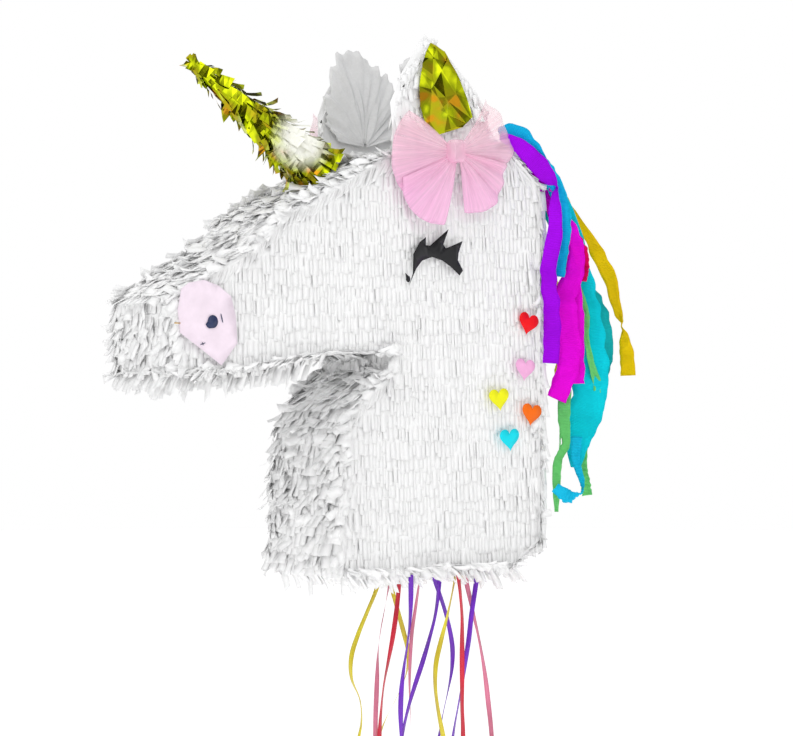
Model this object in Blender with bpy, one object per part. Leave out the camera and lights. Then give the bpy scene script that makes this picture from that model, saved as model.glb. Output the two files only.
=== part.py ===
"""A pull-string party pinata in the shape of a unicorn's head.

A hollow cardboard box, two head-shaped side panels joined by bent gusset
strips, is covered in glued rows of white tissue fringe.  It carries a foil
horn, two ears with foil linings and tulle bows, stickers, a mane of crepe
streamers, and ribbons under a trap door in its base.

The head faces -X, +Z is up, and the unicorn's left side is at -Y.  The origin
is the hanging point, on top of the crown.  All lengths below are millimetres.
"""

import math

import bmesh
import bpy
from mathutils import Matrix, Vector

MM = 0.001
GAP = 0.3

# The outside of the fringed head, seen from its left side, as (x, z) corners.
HEAD = {
    "muzzle_bottom": (-277, -229),
    "muzzle_top": (-275, -153),
    "bridge_low": (-240, -127),
    "bridge_high": (-198, -104),
    "brow": (-156, -66),
    "crown_front": (-49, -8),
    "crown_back": (95, 15),
    "nape_top": (146, -30),
    "back_bottom": (146, -392),
    "base_back": (112, -418),
    "base_front": (-105, -418),
    "throat_low": (-102, -345),
    "throat_mid": (-95, -276),
    "throat_top": (-82, -250),
    "notch_low": (-42, -216),
    "notch_high": (-42, -210),
    "jaw_back": (-110, -210),
    "jaw_mid": (-205, -226),
}
HALF_WIDTH = 67.0
CARD = 3.2
EDGE_FRINGE = 7.0
SIDE_FRINGE = 5.2
END_PULL = 0.4

# Depths below the outside, from the fringe face to the inside of the card.
CARD_FACE = EDGE_FRINGE + GAP
CARD_BACK = CARD_FACE + CARD
PANEL_OUTER = HALF_WIDTH - SIDE_FRINGE - GAP
PANEL_INNER = PANEL_OUTER - CARD
GUSSET_HALF = PANEL_INNER - GAP

# The trap door in the base, hinged at its rear edge.
DOOR_FRONT = 5.0
DOOR_HINGE = 95.0
DOOR_HALF = 40.0
DOOR_PLAY = 1.0
DOOR_SKIN_BACK = 10.0
BASE_Z = HEAD["base_front"][1]

# Hanging hole and the plate that spreads its load.
HANG_RADIUS = 4.0
HANG_PLATE = (70.0, 80.0)

# Horn: a paper cone on the brow, leaning forward, in a sleeve of foil fringe.
HORN_FOOT = (-83.0, -26.4)
HORN_TIP = (-221.0, 66.5)
HORN_RADII = (24.0, 3.5)
HORN_WALL = 1.2
HORN_SIDES = 24
FOIL_ROWS = 7
FOIL_BODY = 2.2
FOIL_FLARE = 5.0
FOIL_START = -25.0

# Ear outline with its fringe, from the foot of its tab, and the foil lining.
EAR = (
    (-44, -32), (-45, 38), (-34, 62), (-14, 88), (2, 106),
    (24, 92), (44, 75), (62, 58), (76, 38), (82, 8), (82, -32),
)
EAR_TAB_Z = -32.0
EAR_CARD = 3.0
EAR_FRINGE = 4.0
EAR_CARD_INSET = 7.0
EAR_FOIL = (
    (2, 99), (-8, 78), (-12, 55), (-11, 36), (-4, 19), (13, 10),
    (40, 19), (52, 30), (46, 48), (34, 72), (18, 92),
)
FOIL = 0.9
EAR_FACE = PANEL_OUTER + GAP + EAR_CARD + GAP + EAR_FRINGE

# Tulle bow: one gathered strip with two wings and two tails, and its knot.
BOW = (
    (22, 3), (-6, 18), (-34, 28), (-42, 2), (-44, -24), (-34, -46),
    (-14, -74), (9, -78), (24, -16), (36, -16), (45, -66), (65, -65),
    (88, -26), (100, -4), (90, 26), (70, 50), (52, 24), (38, 3),
)
BOW_CLEAR = 1.0
BOW_DEPTH = 8.0
BOW_KNOT = (30.0, -6.5)
BOW_KNOT_SIZE = (20.0, 10.0, 20.0)

# Closed eye with three lashes, cut from glossy black film.
EYE = (
    (-21, -138), (-17, -127), (-17, -108), (-9, -96), (-2, -91), (-2, -99),
    (3, -99), (25, -82), (19, -97), (22, -101), (42, -93), (37, -105),
    (36, -112), (42, -122), (38, -127), (28, -119), (18, -113), (6, -110),
    (-6, -114), (-13, -122),
)
NOSTRIL_PATCH = (
    (-272, -150), (-275.5, -169), (-273, -190), (-253, -203), (-230, -219),
    (-213, -198), (-215, -173), (-220, -155), (-233, -146), (-248, -141),
    (-264, -144),
)
STICKER = 1.0

# Heart stickers: name, centre and tilt in degrees.
HEARTS = (
    ("heart_red", (123, -173), -14),
    ("heart_pink", (119, -219), -6),
    ("heart_yellow", (87, -249), 6),
    ("heart_orange", (127, -264), -8),
    ("heart_turquoise", (100, -289), 4),
)
HEART_SIZE = 24.5
HEART_POINTS = 28

# Crepe streamers of the mane: name, y, width, and the middle line as (x, z).
STREAMERS = (
    ("mane_turquoise", -72.0, 22, ((104, 30), (128, 22), (150, 2), (166, -26))),
    ("mane_purple", -75.5, 17, (
        (112, 12), (140, -2), (158, -30), (163, -75), (160, -130), (163, -175),
        (166, -212))),
    ("mane_sky", -58.0, 17, (
        (126, 10), (154, -4), (176, -24), (190, -60), (190, -122))),
    ("mane_magenta", -50.0, 25, (
        (130, 14), (162, -14), (184, -60), (192, -120), (188, -185), (182, -252))),
    ("mane_cyan", -36.0, 27, (
        (132, 16), (170, -20), (206, -85), (232, -155), (238, -215), (228, -275),
        (208, -325))),
    ("mane_yellow", -22.0, 15, (
        (128, 10), (170, -8), (210, -45), (236, -95), (250, -150), (264, -200),
        (270, -235))),
)
CREPE = 1.2
STREAMER_STEP = 3

# Ribbons: name, exit (x, y), and how far each stands to the side, every
# RIBBON_DROP down.  The first one works the trap door.
RIBBONS = (
    ("ribbon_trigger_red", (14, 0),
     (0, -2, -5, -9, -14, -19, -22, -24, -25, -25, -24, -23, -22, -21, -20, -19, -19)),
    ("ribbon_yellow_1", (22, 44),
     (0, -5, -12, -19, -26, -32, -33, -30, -25, -21, -20, -22, -24, -24, -22, -20, -19)),
    ("ribbon_yellow_2", (34, 50),
     (0, 4, 10, 17, 22, 22, 19, 15, 11, 7, 5, 5, 8, 11, 12, 11, 10)),
    ("ribbon_yellow_3", (43, -56),
     (0, -5, -11, -18, -24, -25, -22, -17, -12, -8, -6, -7, -9, -11, -11, -10, -9)),
    ("ribbon_pink_1", (43, 56),
     (0, -5, -10, -15, -18, -19, -20, -21, -21, -20, -18, -16, -15, -15, -16, -17, -17)),
    ("ribbon_pink_2", (71, 44),
     (0, -4, -8, -12, -14, -15, -15, -14, -14, -15, -17, -18, -18, -17, -15, -14, -14)),
    ("ribbon_pink_3", (61, -44),
     (0, 5, 10, 15, 19, 23, 26, 28, 30, 32, 32, 31, 29, 27, 26, 26, 27)),
    ("ribbon_red", (41, -62),
     (0, 3, 5, 5, 5, 5, 5, 6, 6, 5, 3, 1, 0, 0, 1, 3, 4)),
    ("ribbon_purple_1", (-15, -62),
     (0, 0, -1, -4, -8, -11, -12, -11, -9, -7, -5, -4, -5, -7, -8, -8, -7)),
    ("ribbon_purple_2", (32, -44),
     (0, -2, -6, -13, -21, -30, -38, -44, -48, -50, -51, -50, -48, -47, -47, -48, -49)),
    ("ribbon_purple_3", (74, -50),
     (0, -4, -7, -10, -14, -20, -28, -34, -37, -38, -37, -35, -34, -34, -35, -37, -38)),
    ("ribbon_purple_4", (85, 50),
     (0, 4, 6, 6, 5, 3, 1, -2, -5, -8, -10, -11, -11, -9, -7, -6, -6)),
)
RIBBON_WIDTH = 5.0
RIBBON_DROP = 22.0
RIBBON_POINTS = 25
RIBBON_CLEAR = 1.0
TRIGGER_CLEAR = 3.6

COLOURS = {
    "cardboard": ((0.62, 0.47, 0.32), 0.9, 0.0),
    "tissue": ((0.93, 0.93, 0.93), 0.85, 0.0),
    "horn_paper": ((0.85, 0.78, 0.55), 0.8, 0.0),
    "gold_foil": ((0.85, 0.72, 0.12), 0.18, 1.0),
    "tulle": ((1.0, 0.62, 0.75), 0.8, 0.0),
    "black_film": ((0.01, 0.01, 0.012), 0.2, 0.0),
    "nostril_card": ((0.95, 0.78, 0.84), 0.6, 0.0),
    "red": ((0.85, 0.05, 0.06), 0.6, 0.0),
    "pink": ((0.95, 0.35, 0.55), 0.6, 0.0),
    "yellow": ((0.92, 0.72, 0.05), 0.6, 0.0),
    "orange": ((0.92, 0.28, 0.03), 0.6, 0.0),
    "turquoise": ((0.05, 0.62, 0.75), 0.6, 0.0),
    "purple": ((0.22, 0.04, 0.6), 0.6, 0.0),
    "magenta": ((0.85, 0.02, 0.5), 0.6, 0.0),
}


def clear_scene():
    for item in list(bpy.data.objects):
        bpy.data.objects.remove(item, do_unlink=True)


def material(colour):
    """The named paint, made once for each object that wears it."""
    base, roughness, metallic = COLOURS[colour]
    made = bpy.data.materials.new(colour)
    made.use_nodes = True
    shader = made.node_tree.nodes["Principled BSDF"]
    shader.inputs["Base Color"].default_value = (*base, 1.0)
    shader.inputs["Roughness"].default_value = roughness
    shader.inputs["Metallic"].default_value = metallic
    made.diffuse_color = (*base, 1.0)
    return made


def finish(name, bm, colour, pivot=(0.0, 0.0, 0.0)):
    """Turn a bmesh in millimetres into a named object with its origin at pivot."""
    bmesh.ops.recalc_face_normals(bm, faces=bm.faces)
    bmesh.ops.translate(bm, verts=bm.verts, vec=-Vector(pivot))
    bmesh.ops.scale(bm, verts=bm.verts, vec=(MM, MM, MM))
    mesh = bpy.data.meshes.new(name)
    bm.to_mesh(mesh)
    bm.free()
    made = bpy.data.objects.new(name, mesh)
    made.location = Vector(pivot) * MM
    made.data.materials.append(material(colour))
    bpy.context.scene.collection.objects.link(made)
    return made


def plate(name, outline, y_low, y_high, colour, pivot=(0.0, 0.0, 0.0)):
    """A flat sheet with the (x, z) outline, between two y values."""
    bm = bmesh.new()
    corners = [bm.verts.new((x, y_low, z)) for x, z in outline]
    face = bm.faces.new(corners)
    grown = bmesh.ops.extrude_face_region(bm, geom=[face])
    moved = [part for part in grown["geom"] if isinstance(part, bmesh.types.BMVert)]
    bmesh.ops.translate(bm, verts=moved, vec=(0.0, y_high - y_low, 0.0))
    return finish(name, bm, colour, pivot)


def sided_plate(name, outline, side, inner, thickness, colour):
    """A plate whose inner face is at distance inner from the middle, on one side."""
    near, far = sorted((side * inner, side * (inner + thickness)))
    return plate(name, outline, near, far, colour)


def inset(outline, depth):
    """The corners of a closed outline moved inwards by depth, with mitred corners."""
    corners = [Vector(corner) for corner in outline]
    area = sum(a.x * b.y - b.x * a.y for a, b in zip(corners, corners[1:] + corners[:1]))
    turn = 1.0 if area > 0 else -1.0
    moved = []
    for index, corner in enumerate(corners):
        before = (corner - corners[index - 1]).normalized()
        after = (corners[(index + 1) % len(corners)] - corner).normalized()
        inward = Vector((-before.y, before.x)) * turn
        mitre = (inward + Vector((-after.y, after.x)) * turn).normalized()
        moved.append(corner + mitre * (depth / mitre.dot(inward)))
    return moved


def strip(first, last, outer, inner):
    """The outline of a bent strip along the head's edge, between two depths."""
    names = list(HEAD)
    start, stop = names.index(first), names.index(last)
    count = (stop - start) % len(names) + 1
    picked = [(start + step) % len(names) for step in range(count)]
    face = [inset(HEAD.values(), outer)[index] for index in picked]
    back = [inset(HEAD.values(), inner)[index] for index in picked]
    head_pull = (face[1] - face[0]).normalized() * END_PULL
    tail_pull = (face[-2] - face[-1]).normalized() * END_PULL
    for line in (face, back):
        line[0] = line[0] + head_pull
        line[-1] = line[-1] + tail_pull
    return face + back[::-1]


def cutter(name, low, high):
    """A hidden box that cuts an opening."""
    bm = bmesh.new()
    size = [b - a for a, b in zip(low, high)]
    middle = [(a + b) / 2 for a, b in zip(low, high)]
    placed = Matrix.Translation(middle) @ Matrix.Diagonal((*size, 1.0))
    bmesh.ops.create_cube(bm, size=1.0, matrix=placed)
    return hide(finish(name, bm, "cardboard"))


def round_cutter(name, centre, radius, height):
    """A hidden upright cylinder that cuts a round hole."""
    bm = bmesh.new()
    bmesh.ops.create_cone(
        bm, cap_ends=True, segments=24, radius1=radius, radius2=radius, depth=height,
        matrix=Matrix.Translation(centre))
    return hide(finish(name, bm, "cardboard"))


def hide(guide):
    guide.hide_render = True
    guide.display_type = "WIRE"
    return guide


def cut(target, tool):
    """Take the tool's shape out of the target."""
    change = target.modifiers.new("opening", "BOOLEAN")
    change.operation = "DIFFERENCE"
    change.object = tool


# Cardboard box


def make_side_panels():
    """Two die-cut head shapes, one on each side."""
    outline = inset(HEAD.values(), CARD_FACE)
    for name, side in (("left_side_panel", -1), ("right_side_panel", 1)):
        sided_plate(name, outline, side, PANEL_INNER, CARD, "cardboard")


def make_gussets():
    """Strips of card, scored and bent, that join the two side panels."""
    runs = (
        ("nose_gusset", "muzzle_bottom", "muzzle_top"),
        ("brow_gusset", "muzzle_top", "crown_front"),
        ("crown_gusset", "crown_front", "crown_back"),
        ("nape_gusset", "crown_back", "base_back"),
        ("base_panel", "base_back", "base_front"),
        ("throat_gusset", "base_front", "notch_low"),
        ("jaw_gusset", "notch_low", "muzzle_bottom"),
    )
    return {
        name: plate(name, strip(first, last, CARD_FACE, CARD_BACK),
                    -GUSSET_HALF, GUSSET_HALF, "cardboard")
        for name, first, last in runs
    }


def make_hanging_plate():
    """A stiffener glued under the crown, around the hole for the hanging cord."""
    front, back = (Vector(HEAD[name]) for name in ("crown_front", "crown_back"))
    along = (back - front).normalized()
    down = Vector((along.y, -along.x))
    middle = down * (CARD_BACK + GAP)
    half = along * (HANG_PLATE[0] / 2)
    outline = (middle - half, middle + half, middle + half + down * CARD,
               middle - half + down * CARD)
    half_width = HANG_PLATE[1] / 2
    return plate("hanging_plate", outline, -half_width, half_width, "cardboard")


def make_trap_door():
    """A flap of the base card and its fringe, which swing down on the rear crease."""
    pivot = (DOOR_HINGE, 0.0, BASE_Z + CARD_FACE)
    front = DOOR_FRONT + DOOR_PLAY
    half = DOOR_HALF - DOOR_PLAY
    layers = (
        ("trap_door", DOOR_HINGE - DOOR_PLAY, CARD_FACE, CARD_BACK, "cardboard"),
        ("trap_door_fringe", DOOR_HINGE - DOOR_SKIN_BACK, 0.0, EDGE_FRINGE, "tissue"),
    )
    for name, rear, low, high, colour in layers:
        z_low, z_high = BASE_Z + low, BASE_Z + high
        outline = ((front, z_low), (rear, z_low), (rear, z_high), (front, z_high))
        plate(name, outline, -half, half, colour, pivot)


# Fringe skins


def make_side_fringes():
    """Fringe over each side panel, stepped around the tab of the ear."""
    ear_front = EAR[0][0] - 1.0
    ear_back = EAR[-1][0] + 1.0
    step_z = EAR_TAB_Z - 1.0
    names = list(HEAD)
    corners = inset(HEAD.values(), CARD_FACE)
    crown_front = corners[names.index("crown_front")]
    crown_back = corners[names.index("crown_back")]

    def crown_point(x):
        return crown_front.lerp(crown_back, (x - crown_front.x) / (crown_back.x - crown_front.x))

    notch = [crown_point(ear_front), Vector((ear_front, step_z)),
             Vector((ear_back, step_z)), crown_point(ear_back)]
    at = names.index("crown_back")
    outline = corners[:at] + notch + corners[at:]
    for name, side in (("left_side_fringe", -1), ("right_side_fringe", 1)):
        sided_plate(name, outline, side, PANEL_OUTER + GAP, SIDE_FRINGE, "tissue")


def make_edge_fringes():
    """Fringe over the gussets, out to the faces of the side fringes."""
    runs = (
        ("nose_fringe", "muzzle_bottom", "muzzle_top", HALF_WIDTH),
        ("brow_fringe", "muzzle_top", "crown_front", HALF_WIDTH),
        ("crown_fringe", "crown_front", "crown_back", PANEL_OUTER),
        ("nape_fringe", "crown_back", "base_back", HALF_WIDTH),
        ("base_fringe", "base_back", "base_front", HALF_WIDTH),
        ("throat_fringe", "base_front", "notch_low", HALF_WIDTH),
        ("jaw_fringe", "notch_low", "muzzle_bottom", HALF_WIDTH),
    )
    return {
        name: plate(name, strip(first, last, 0.0, EDGE_FRINGE), -half, half, "tissue")
        for name, first, last, half in runs
    }


def cut_openings(gussets, fringes, hanging_plate):
    """The door opening through the base, and the hanging hole through the crown."""
    doorway = cutter(
        "doorway_cutter", (DOOR_FRONT, -DOOR_HALF, BASE_Z - 20),
        (DOOR_HINGE, DOOR_HALF, BASE_Z + 20))
    hanging_hole = round_cutter("hanging_hole_cutter", (0.0, 0.0, 0.0), HANG_RADIUS, 80.0)
    for target in (gussets["base_panel"], fringes["base_fringe"]):
        cut(target, doorway)
    for target in (gussets["crown_gusset"], fringes["crown_fringe"], hanging_plate):
        cut(target, hanging_hole)


# Horn


def horn_frame():
    """The matrix that stands the +Z axis on the brow along the horn, and its length."""
    foot = Vector((HORN_FOOT[0], 0.0, HORN_FOOT[1]))
    tip = Vector((HORN_TIP[0], 0.0, HORN_TIP[1]))
    turned = (tip - foot).to_track_quat("Z", "Y").to_matrix().to_4x4()
    return Matrix.Translation(foot) @ turned, (tip - foot).length


def trim_at_brow(bm, lift):
    """Cut away what lies lower than lift over the brow, and return the cut's edges."""
    low, high = (Vector(HEAD[name]) for name in ("brow", "crown_front"))
    slope = (high - low).normalized()
    normal = Vector((-slope.y, 0.0, slope.x))
    point = Vector((low.x, 0.0, low.y)) + normal * lift
    made = bmesh.ops.bisect_plane(
        bm, geom=bm.verts[:] + bm.edges[:] + bm.faces[:], plane_co=point,
        plane_no=normal, clear_inner=True)
    return [part for part in made["geom_cut"] if isinstance(part, bmesh.types.BMEdge)]


def make_horn_cone():
    """A thin rolled paper cone, open at its foot."""
    frame, length = horn_frame()
    foot_radius, tip_radius = HORN_RADII
    below = -FOIL_START
    spread = foot_radius + (foot_radius - tip_radius) * below / length
    bm = bmesh.new()
    bmesh.ops.create_cone(
        bm, cap_ends=True, segments=HORN_SIDES, radius1=spread, radius2=tip_radius,
        depth=length + below,
        matrix=frame @ Matrix.Translation((0.0, 0.0, (length - below) / 2)))
    trim_at_brow(bm, GAP + HORN_WALL)
    cone = finish("horn_cone", bm, "horn_paper")
    wall = cone.modifiers.new("wall", "SOLIDIFY")
    wall.thickness = HORN_WALL * MM
    wall.offset = -1.0


def make_horn_fringe():
    """A sleeve of foil fringe in flared rows, turned around the horn."""
    frame, length = horn_frame()
    foot_radius, tip_radius = HORN_RADII

    def radius_at(height):
        return foot_radius + (tip_radius - foot_radius) * height / length + GAP + 0.1

    pitch = (length - FOIL_START) / FOIL_ROWS
    outside = []
    for row in range(FOIL_ROWS):
        low = FOIL_START + row * pitch
        outside.append((radius_at(low) + FOIL_FLARE, low))
        outside.append((radius_at(low + pitch) + FOIL_BODY, low + pitch))
    inside = [(radius_at(length), length), (radius_at(FOIL_START), FOIL_START)]
    bm = bmesh.new()
    ring = [bm.verts.new((radius, 0.0, height)) for radius, height in outside + inside]
    edges = [bm.edges.new((a, b)) for a, b in zip(ring, ring[1:] + ring[:1])]
    bmesh.ops.spin(
        bm, geom=edges, cent=(0, 0, 0), axis=(0, 0, 1), angle=math.tau,
        steps=HORN_SIDES, use_merge=True)
    bmesh.ops.transform(bm, matrix=frame, verts=bm.verts)
    rim = trim_at_brow(bm, GAP)
    bmesh.ops.bridge_loops(bm, edges=rim)
    finish("horn_foil_fringe", bm, "gold_foil")


# Ears, bows and stickers


def make_ears():
    """Each ear: a card tab on the side panel, fringe over it and a foil lining."""
    for word, side in (("left", -1), ("right", 1)):
        card_y = PANEL_OUTER + GAP
        fringe_y = card_y + EAR_CARD + GAP
        foil_y = fringe_y + EAR_FRINGE + GAP
        sided_plate(f"{word}_ear_card", inset(EAR, EAR_CARD_INSET), side, card_y,
                    EAR_CARD, "cardboard")
        sided_plate(f"{word}_ear_fringe", EAR, side, fringe_y, EAR_FRINGE, "tissue")
        sided_plate(f"{word}_ear_foil", EAR_FOIL, side, foil_y, FOIL, "gold_foil")


def make_bows():
    """Each bow: a gathered strip of tulle in front of the ear, and its knot band."""
    bow_y = EAR_FACE + GAP + FOIL + BOW_CLEAR
    knot_y = bow_y + BOW_DEPTH + GAP + BOW_KNOT_SIZE[1] / 2
    for word, side in (("left", -1), ("right", 1)):
        sided_plate(f"{word}_bow", BOW, side, bow_y, BOW_DEPTH, "tulle")
        bm = bmesh.new()
        centre = (BOW_KNOT[0], side * knot_y, BOW_KNOT[1])
        placed = Matrix.Translation(centre) @ Matrix.Diagonal((*BOW_KNOT_SIZE, 1.0))
        bmesh.ops.create_cube(bm, size=1.0, matrix=placed)
        bmesh.ops.bevel(
            bm, geom=bm.edges[:], offset=3.0, segments=2, profile=0.5, affect="EDGES")
        finish(f"{word}_bow_knot", bm, "tulle")


def heart_outline(centre, tilt):
    """A heart from its usual formula, HEART_SIZE wide, turned by tilt degrees."""
    turn = Matrix.Rotation(math.radians(tilt), 2)
    scale = HEART_SIZE / 32
    points = []
    for step in range(HEART_POINTS):
        t = math.tau * step / HEART_POINTS
        x = 16 * math.sin(t) ** 3
        z = 13 * math.cos(t) - 5 * math.cos(2 * t) - 2 * math.cos(3 * t) - math.cos(4 * t)
        points.append(Vector(centre) + turn @ Vector((x, z + 2.5)) * scale)
    return points


def make_stickers():
    """Eyes and nostril patches on both sides, and the hearts on the left cheek."""
    face = HALF_WIDTH + GAP
    for word, side in (("left", -1), ("right", 1)):
        sided_plate(f"{word}_eye", EYE, side, face, STICKER, "black_film")
        sided_plate(f"{word}_nostril_patch", NOSTRIL_PATCH, side, face, STICKER,
                    "nostril_card")
    for name, centre, tilt in HEARTS:
        sided_plate(name, heart_outline(centre, tilt), -1, face, STICKER,
                    name.removeprefix("heart_"))


# Mane and ribbons


def smooth_line(points, count):
    """Evenly counted points on a smooth curve through the given points."""
    spots = [Vector(point) for point in points]
    spots = [2 * spots[0] - spots[1], *spots, 2 * spots[-1] - spots[-2]]
    spans = len(spots) - 3
    line = []
    for step in range(count):
        along = spans * step / (count - 1)
        span = min(int(along), spans - 1)
        t = along - span
        a, b, c, d = spots[span:span + 4]
        line.append(0.5 * (2 * b + (c - a) * t + (2 * a - 5 * b + 4 * c - d) * t ** 2
                           + (3 * b - a - 3 * c + d) * t ** 3))
    return line


def make_streamers():
    """Crepe strips glued along the nape, hanging behind the neck."""
    colours = {"sky": "turquoise", "cyan": "turquoise"}
    for name, y, width, route in STREAMERS:
        middle = smooth_line(route, STREAMER_STEP * (len(route) - 1) + 1)
        left, right = [], []
        for index, spot in enumerate(middle):
            before = middle[max(index - 1, 0)]
            after = middle[min(index + 1, len(middle) - 1)]
            along = (after - before).normalized()
            side = Vector((-along.y, along.x)) * (width / 2)
            left.append(spot + side)
            right.append(spot - side)
        word = name.removeprefix("mane_")
        plate(name, left + right[::-1], y, y + CREPE, colours.get(word, word))


def make_ribbons():
    """Flat curling ribbon as plain tubes of its width, each of its real length."""
    for name, (x, y), sway in RIBBONS:
        clear = TRIGGER_CLEAR if name.startswith("ribbon_trigger") else RIBBON_CLEAR
        start = BASE_Z - clear
        route = [Vector((x + side, y, start - RIBBON_DROP * step))
                 for step, side in enumerate(sway)]
        line = smooth_line(route, RIBBON_POINTS)
        curve = bpy.data.curves.new(name, "CURVE")
        curve.dimensions = "3D"
        curve.bevel_depth = RIBBON_WIDTH / 2 * MM
        curve.bevel_resolution = 2
        curve.use_fill_caps = True
        spline = curve.splines.new("POLY")
        spline.points.add(len(line) - 1)
        for point, spot in zip(spline.points, line):
            point.co = (*((spot - route[0]) * MM), 1.0)
        made = bpy.data.objects.new(name, curve)
        made.location = route[0] * MM
        word = next(word for word in name.split("_") if word in COLOURS)
        curve.materials.append(material(word))
        bpy.context.scene.collection.objects.link(made)


clear_scene()
make_side_panels()
gusset_objects = make_gussets()
plate_object = make_hanging_plate()
make_trap_door()
make_side_fringes()
fringe_objects = make_edge_fringes()
cut_openings(gusset_objects, fringe_objects, plate_object)
make_horn_cone()
make_horn_fringe()
make_ears()
make_bows()
make_stickers()
make_streamers()
make_ribbons()
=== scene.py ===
import math

import bmesh
import bpy
import numpy as np
from mathutils import Matrix, Vector, noise


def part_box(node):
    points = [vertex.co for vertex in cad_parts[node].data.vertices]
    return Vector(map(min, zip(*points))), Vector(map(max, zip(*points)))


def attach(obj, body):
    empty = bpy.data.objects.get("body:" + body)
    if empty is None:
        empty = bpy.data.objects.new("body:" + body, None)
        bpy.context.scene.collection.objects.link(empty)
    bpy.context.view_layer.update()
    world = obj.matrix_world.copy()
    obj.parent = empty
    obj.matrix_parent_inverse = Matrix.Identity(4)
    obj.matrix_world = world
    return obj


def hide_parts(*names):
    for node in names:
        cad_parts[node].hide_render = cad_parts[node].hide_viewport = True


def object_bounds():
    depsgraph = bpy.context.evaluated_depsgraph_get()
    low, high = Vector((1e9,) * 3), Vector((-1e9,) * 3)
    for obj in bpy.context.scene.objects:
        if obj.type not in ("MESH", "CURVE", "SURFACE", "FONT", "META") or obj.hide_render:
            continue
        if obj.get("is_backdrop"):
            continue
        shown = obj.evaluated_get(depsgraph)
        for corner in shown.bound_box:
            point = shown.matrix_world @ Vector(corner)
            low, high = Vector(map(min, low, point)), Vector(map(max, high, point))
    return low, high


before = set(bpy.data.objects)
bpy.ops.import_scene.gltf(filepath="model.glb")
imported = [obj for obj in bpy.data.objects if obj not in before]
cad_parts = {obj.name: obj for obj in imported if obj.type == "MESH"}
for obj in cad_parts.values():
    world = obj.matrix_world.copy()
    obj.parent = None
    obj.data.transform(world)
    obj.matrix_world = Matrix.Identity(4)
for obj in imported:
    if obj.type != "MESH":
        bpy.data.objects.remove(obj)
cad_low, cad_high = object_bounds()


# ---------------------------------------------------------------- camera
# A long lens, almost level, looks at the head from its front left while
# the head hangs at eye height.

VIEW_CENTRE = Vector((0.010, 0.0, -0.217))
VIEW_AZIMUTH = math.radians(-34.0)
VIEW_ELEVATION = math.radians(-1.3)
VIEW_DISTANCE = 2.3
VIEW_SENSOR = 36.0
VIEW_LENS = 104.4

to_camera = Vector((
    math.sin(VIEW_AZIMUTH) * math.cos(VIEW_ELEVATION),
    -math.cos(VIEW_AZIMUTH) * math.cos(VIEW_ELEVATION),
    math.sin(VIEW_ELEVATION)))
lens = bpy.data.cameras.new("camera")
lens.sensor_width = VIEW_SENSOR
lens.lens = VIEW_LENS
camera = bpy.data.objects.new("camera", lens)
camera.location = VIEW_CENTRE + to_camera * VIEW_DISTANCE
camera.rotation_mode = "QUATERNION"
camera.rotation_quaternion = to_camera.to_track_quat("Z", "Y")
bpy.context.scene.collection.objects.link(camera)
bpy.context.scene.camera = camera


# ---------------------------------------------------------------- ribbons
# Twelve lengths of flat polypropylene curling ribbon, 5 mm wide, hang from
# the base.  One is fixed to the trap door and works it; the rest are decoys
# fixed to the base around the doorway.

MM = 0.001


class Value:
    """A socket in a material's nodes; arithmetic on it adds Math nodes."""

    def __init__(self, paint, socket):
        self.paint = paint
        self.socket = socket

    def maths(self, operation, first, second):
        return self.paint.node("ShaderNodeMath", {"operation": operation}, {0: first, 1: second})

    def __add__(self, other):
        return self.maths("ADD", self, other)

    def __radd__(self, other):
        return self.maths("ADD", other, self)

    def __sub__(self, other):
        return self.maths("SUBTRACT", self, other)

    def __rsub__(self, other):
        return self.maths("SUBTRACT", other, self)

    def __mul__(self, other):
        return self.maths("MULTIPLY", self, other)

    def __rmul__(self, other):
        return self.maths("MULTIPLY", other, self)


class Paint:
    """A material built on one Principled shader, with a short way to add nodes."""

    def __init__(self, name, **constants):
        self.material = bpy.data.materials.new(name)
        self.material.use_nodes = True
        self.tree = self.material.node_tree
        self.shader = self.tree.nodes["Principled BSDF"]
        for key, value in constants.items():
            self.feed(key.replace("_", " ").title().replace("Ior", "IOR"), value)

    def node(self, kind, settings=None, inputs=None, output=0):
        made = self.tree.nodes.new(kind)
        for key, value in (settings or {}).items():
            if key == "stops":
                self.set_stops(made.color_ramp, value)
            else:
                setattr(made, key, value)
        for key, value in (inputs or {}).items():
            self.join(made.inputs[key], value)
        return Value(self, made.outputs[output])

    def set_stops(self, ramp, stops):
        while len(ramp.elements) < len(stops):
            ramp.elements.new(1.0)
        for element, (place, colour) in zip(ramp.elements, stops):
            element.position = place
            element.color = (*colour, 1.0)

    def join(self, socket, value):
        if isinstance(value, Value):
            self.tree.links.new(value.socket, socket)
        elif isinstance(value, tuple) and len(value) == 3 and socket.type == "RGBA":
            socket.default_value = (*value, 1.0)
        else:
            socket.default_value = value

    def feed(self, name, value):
        self.join(self.shader.inputs[name], value)

    def place(self, scale=(1.0, 1.0, 1.0), source="Object"):
        """Coordinates for a pattern: the object's own, or its UV map."""
        found = self.node("ShaderNodeTexCoord", output=source)
        return self.node("ShaderNodeMapping", None, {"Vector": found, "Scale": scale})

    def noise(self, scale, detail=2.0, roughness=0.5, where=None, distortion=0.0):
        """A noise value around 0.5; scale is in cycles per metre."""
        return self.node("ShaderNodeTexNoise", None, {
            "Vector": where or self.place(), "Scale": scale, "Detail": detail,
            "Roughness": roughness, "Distortion": distortion})

    def ramp(self, value, stops):
        return self.node("ShaderNodeValToRGB", {"stops": stops}, {0: value})

    def mix(self, factor, first, second):
        return self.node("ShaderNodeMix", {"data_type": "RGBA"},
                         {0: factor, 6: first, 7: second}, output=2)

    def bump(self, height, distance, strength):
        made = self.node("ShaderNodeBump", None, {
            "Height": height, "Distance": distance, "Strength": strength})
        self.feed("Normal", made)


def tint(colour, factor):
    return tuple(min(1.0, channel * factor) for channel in colour)


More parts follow.
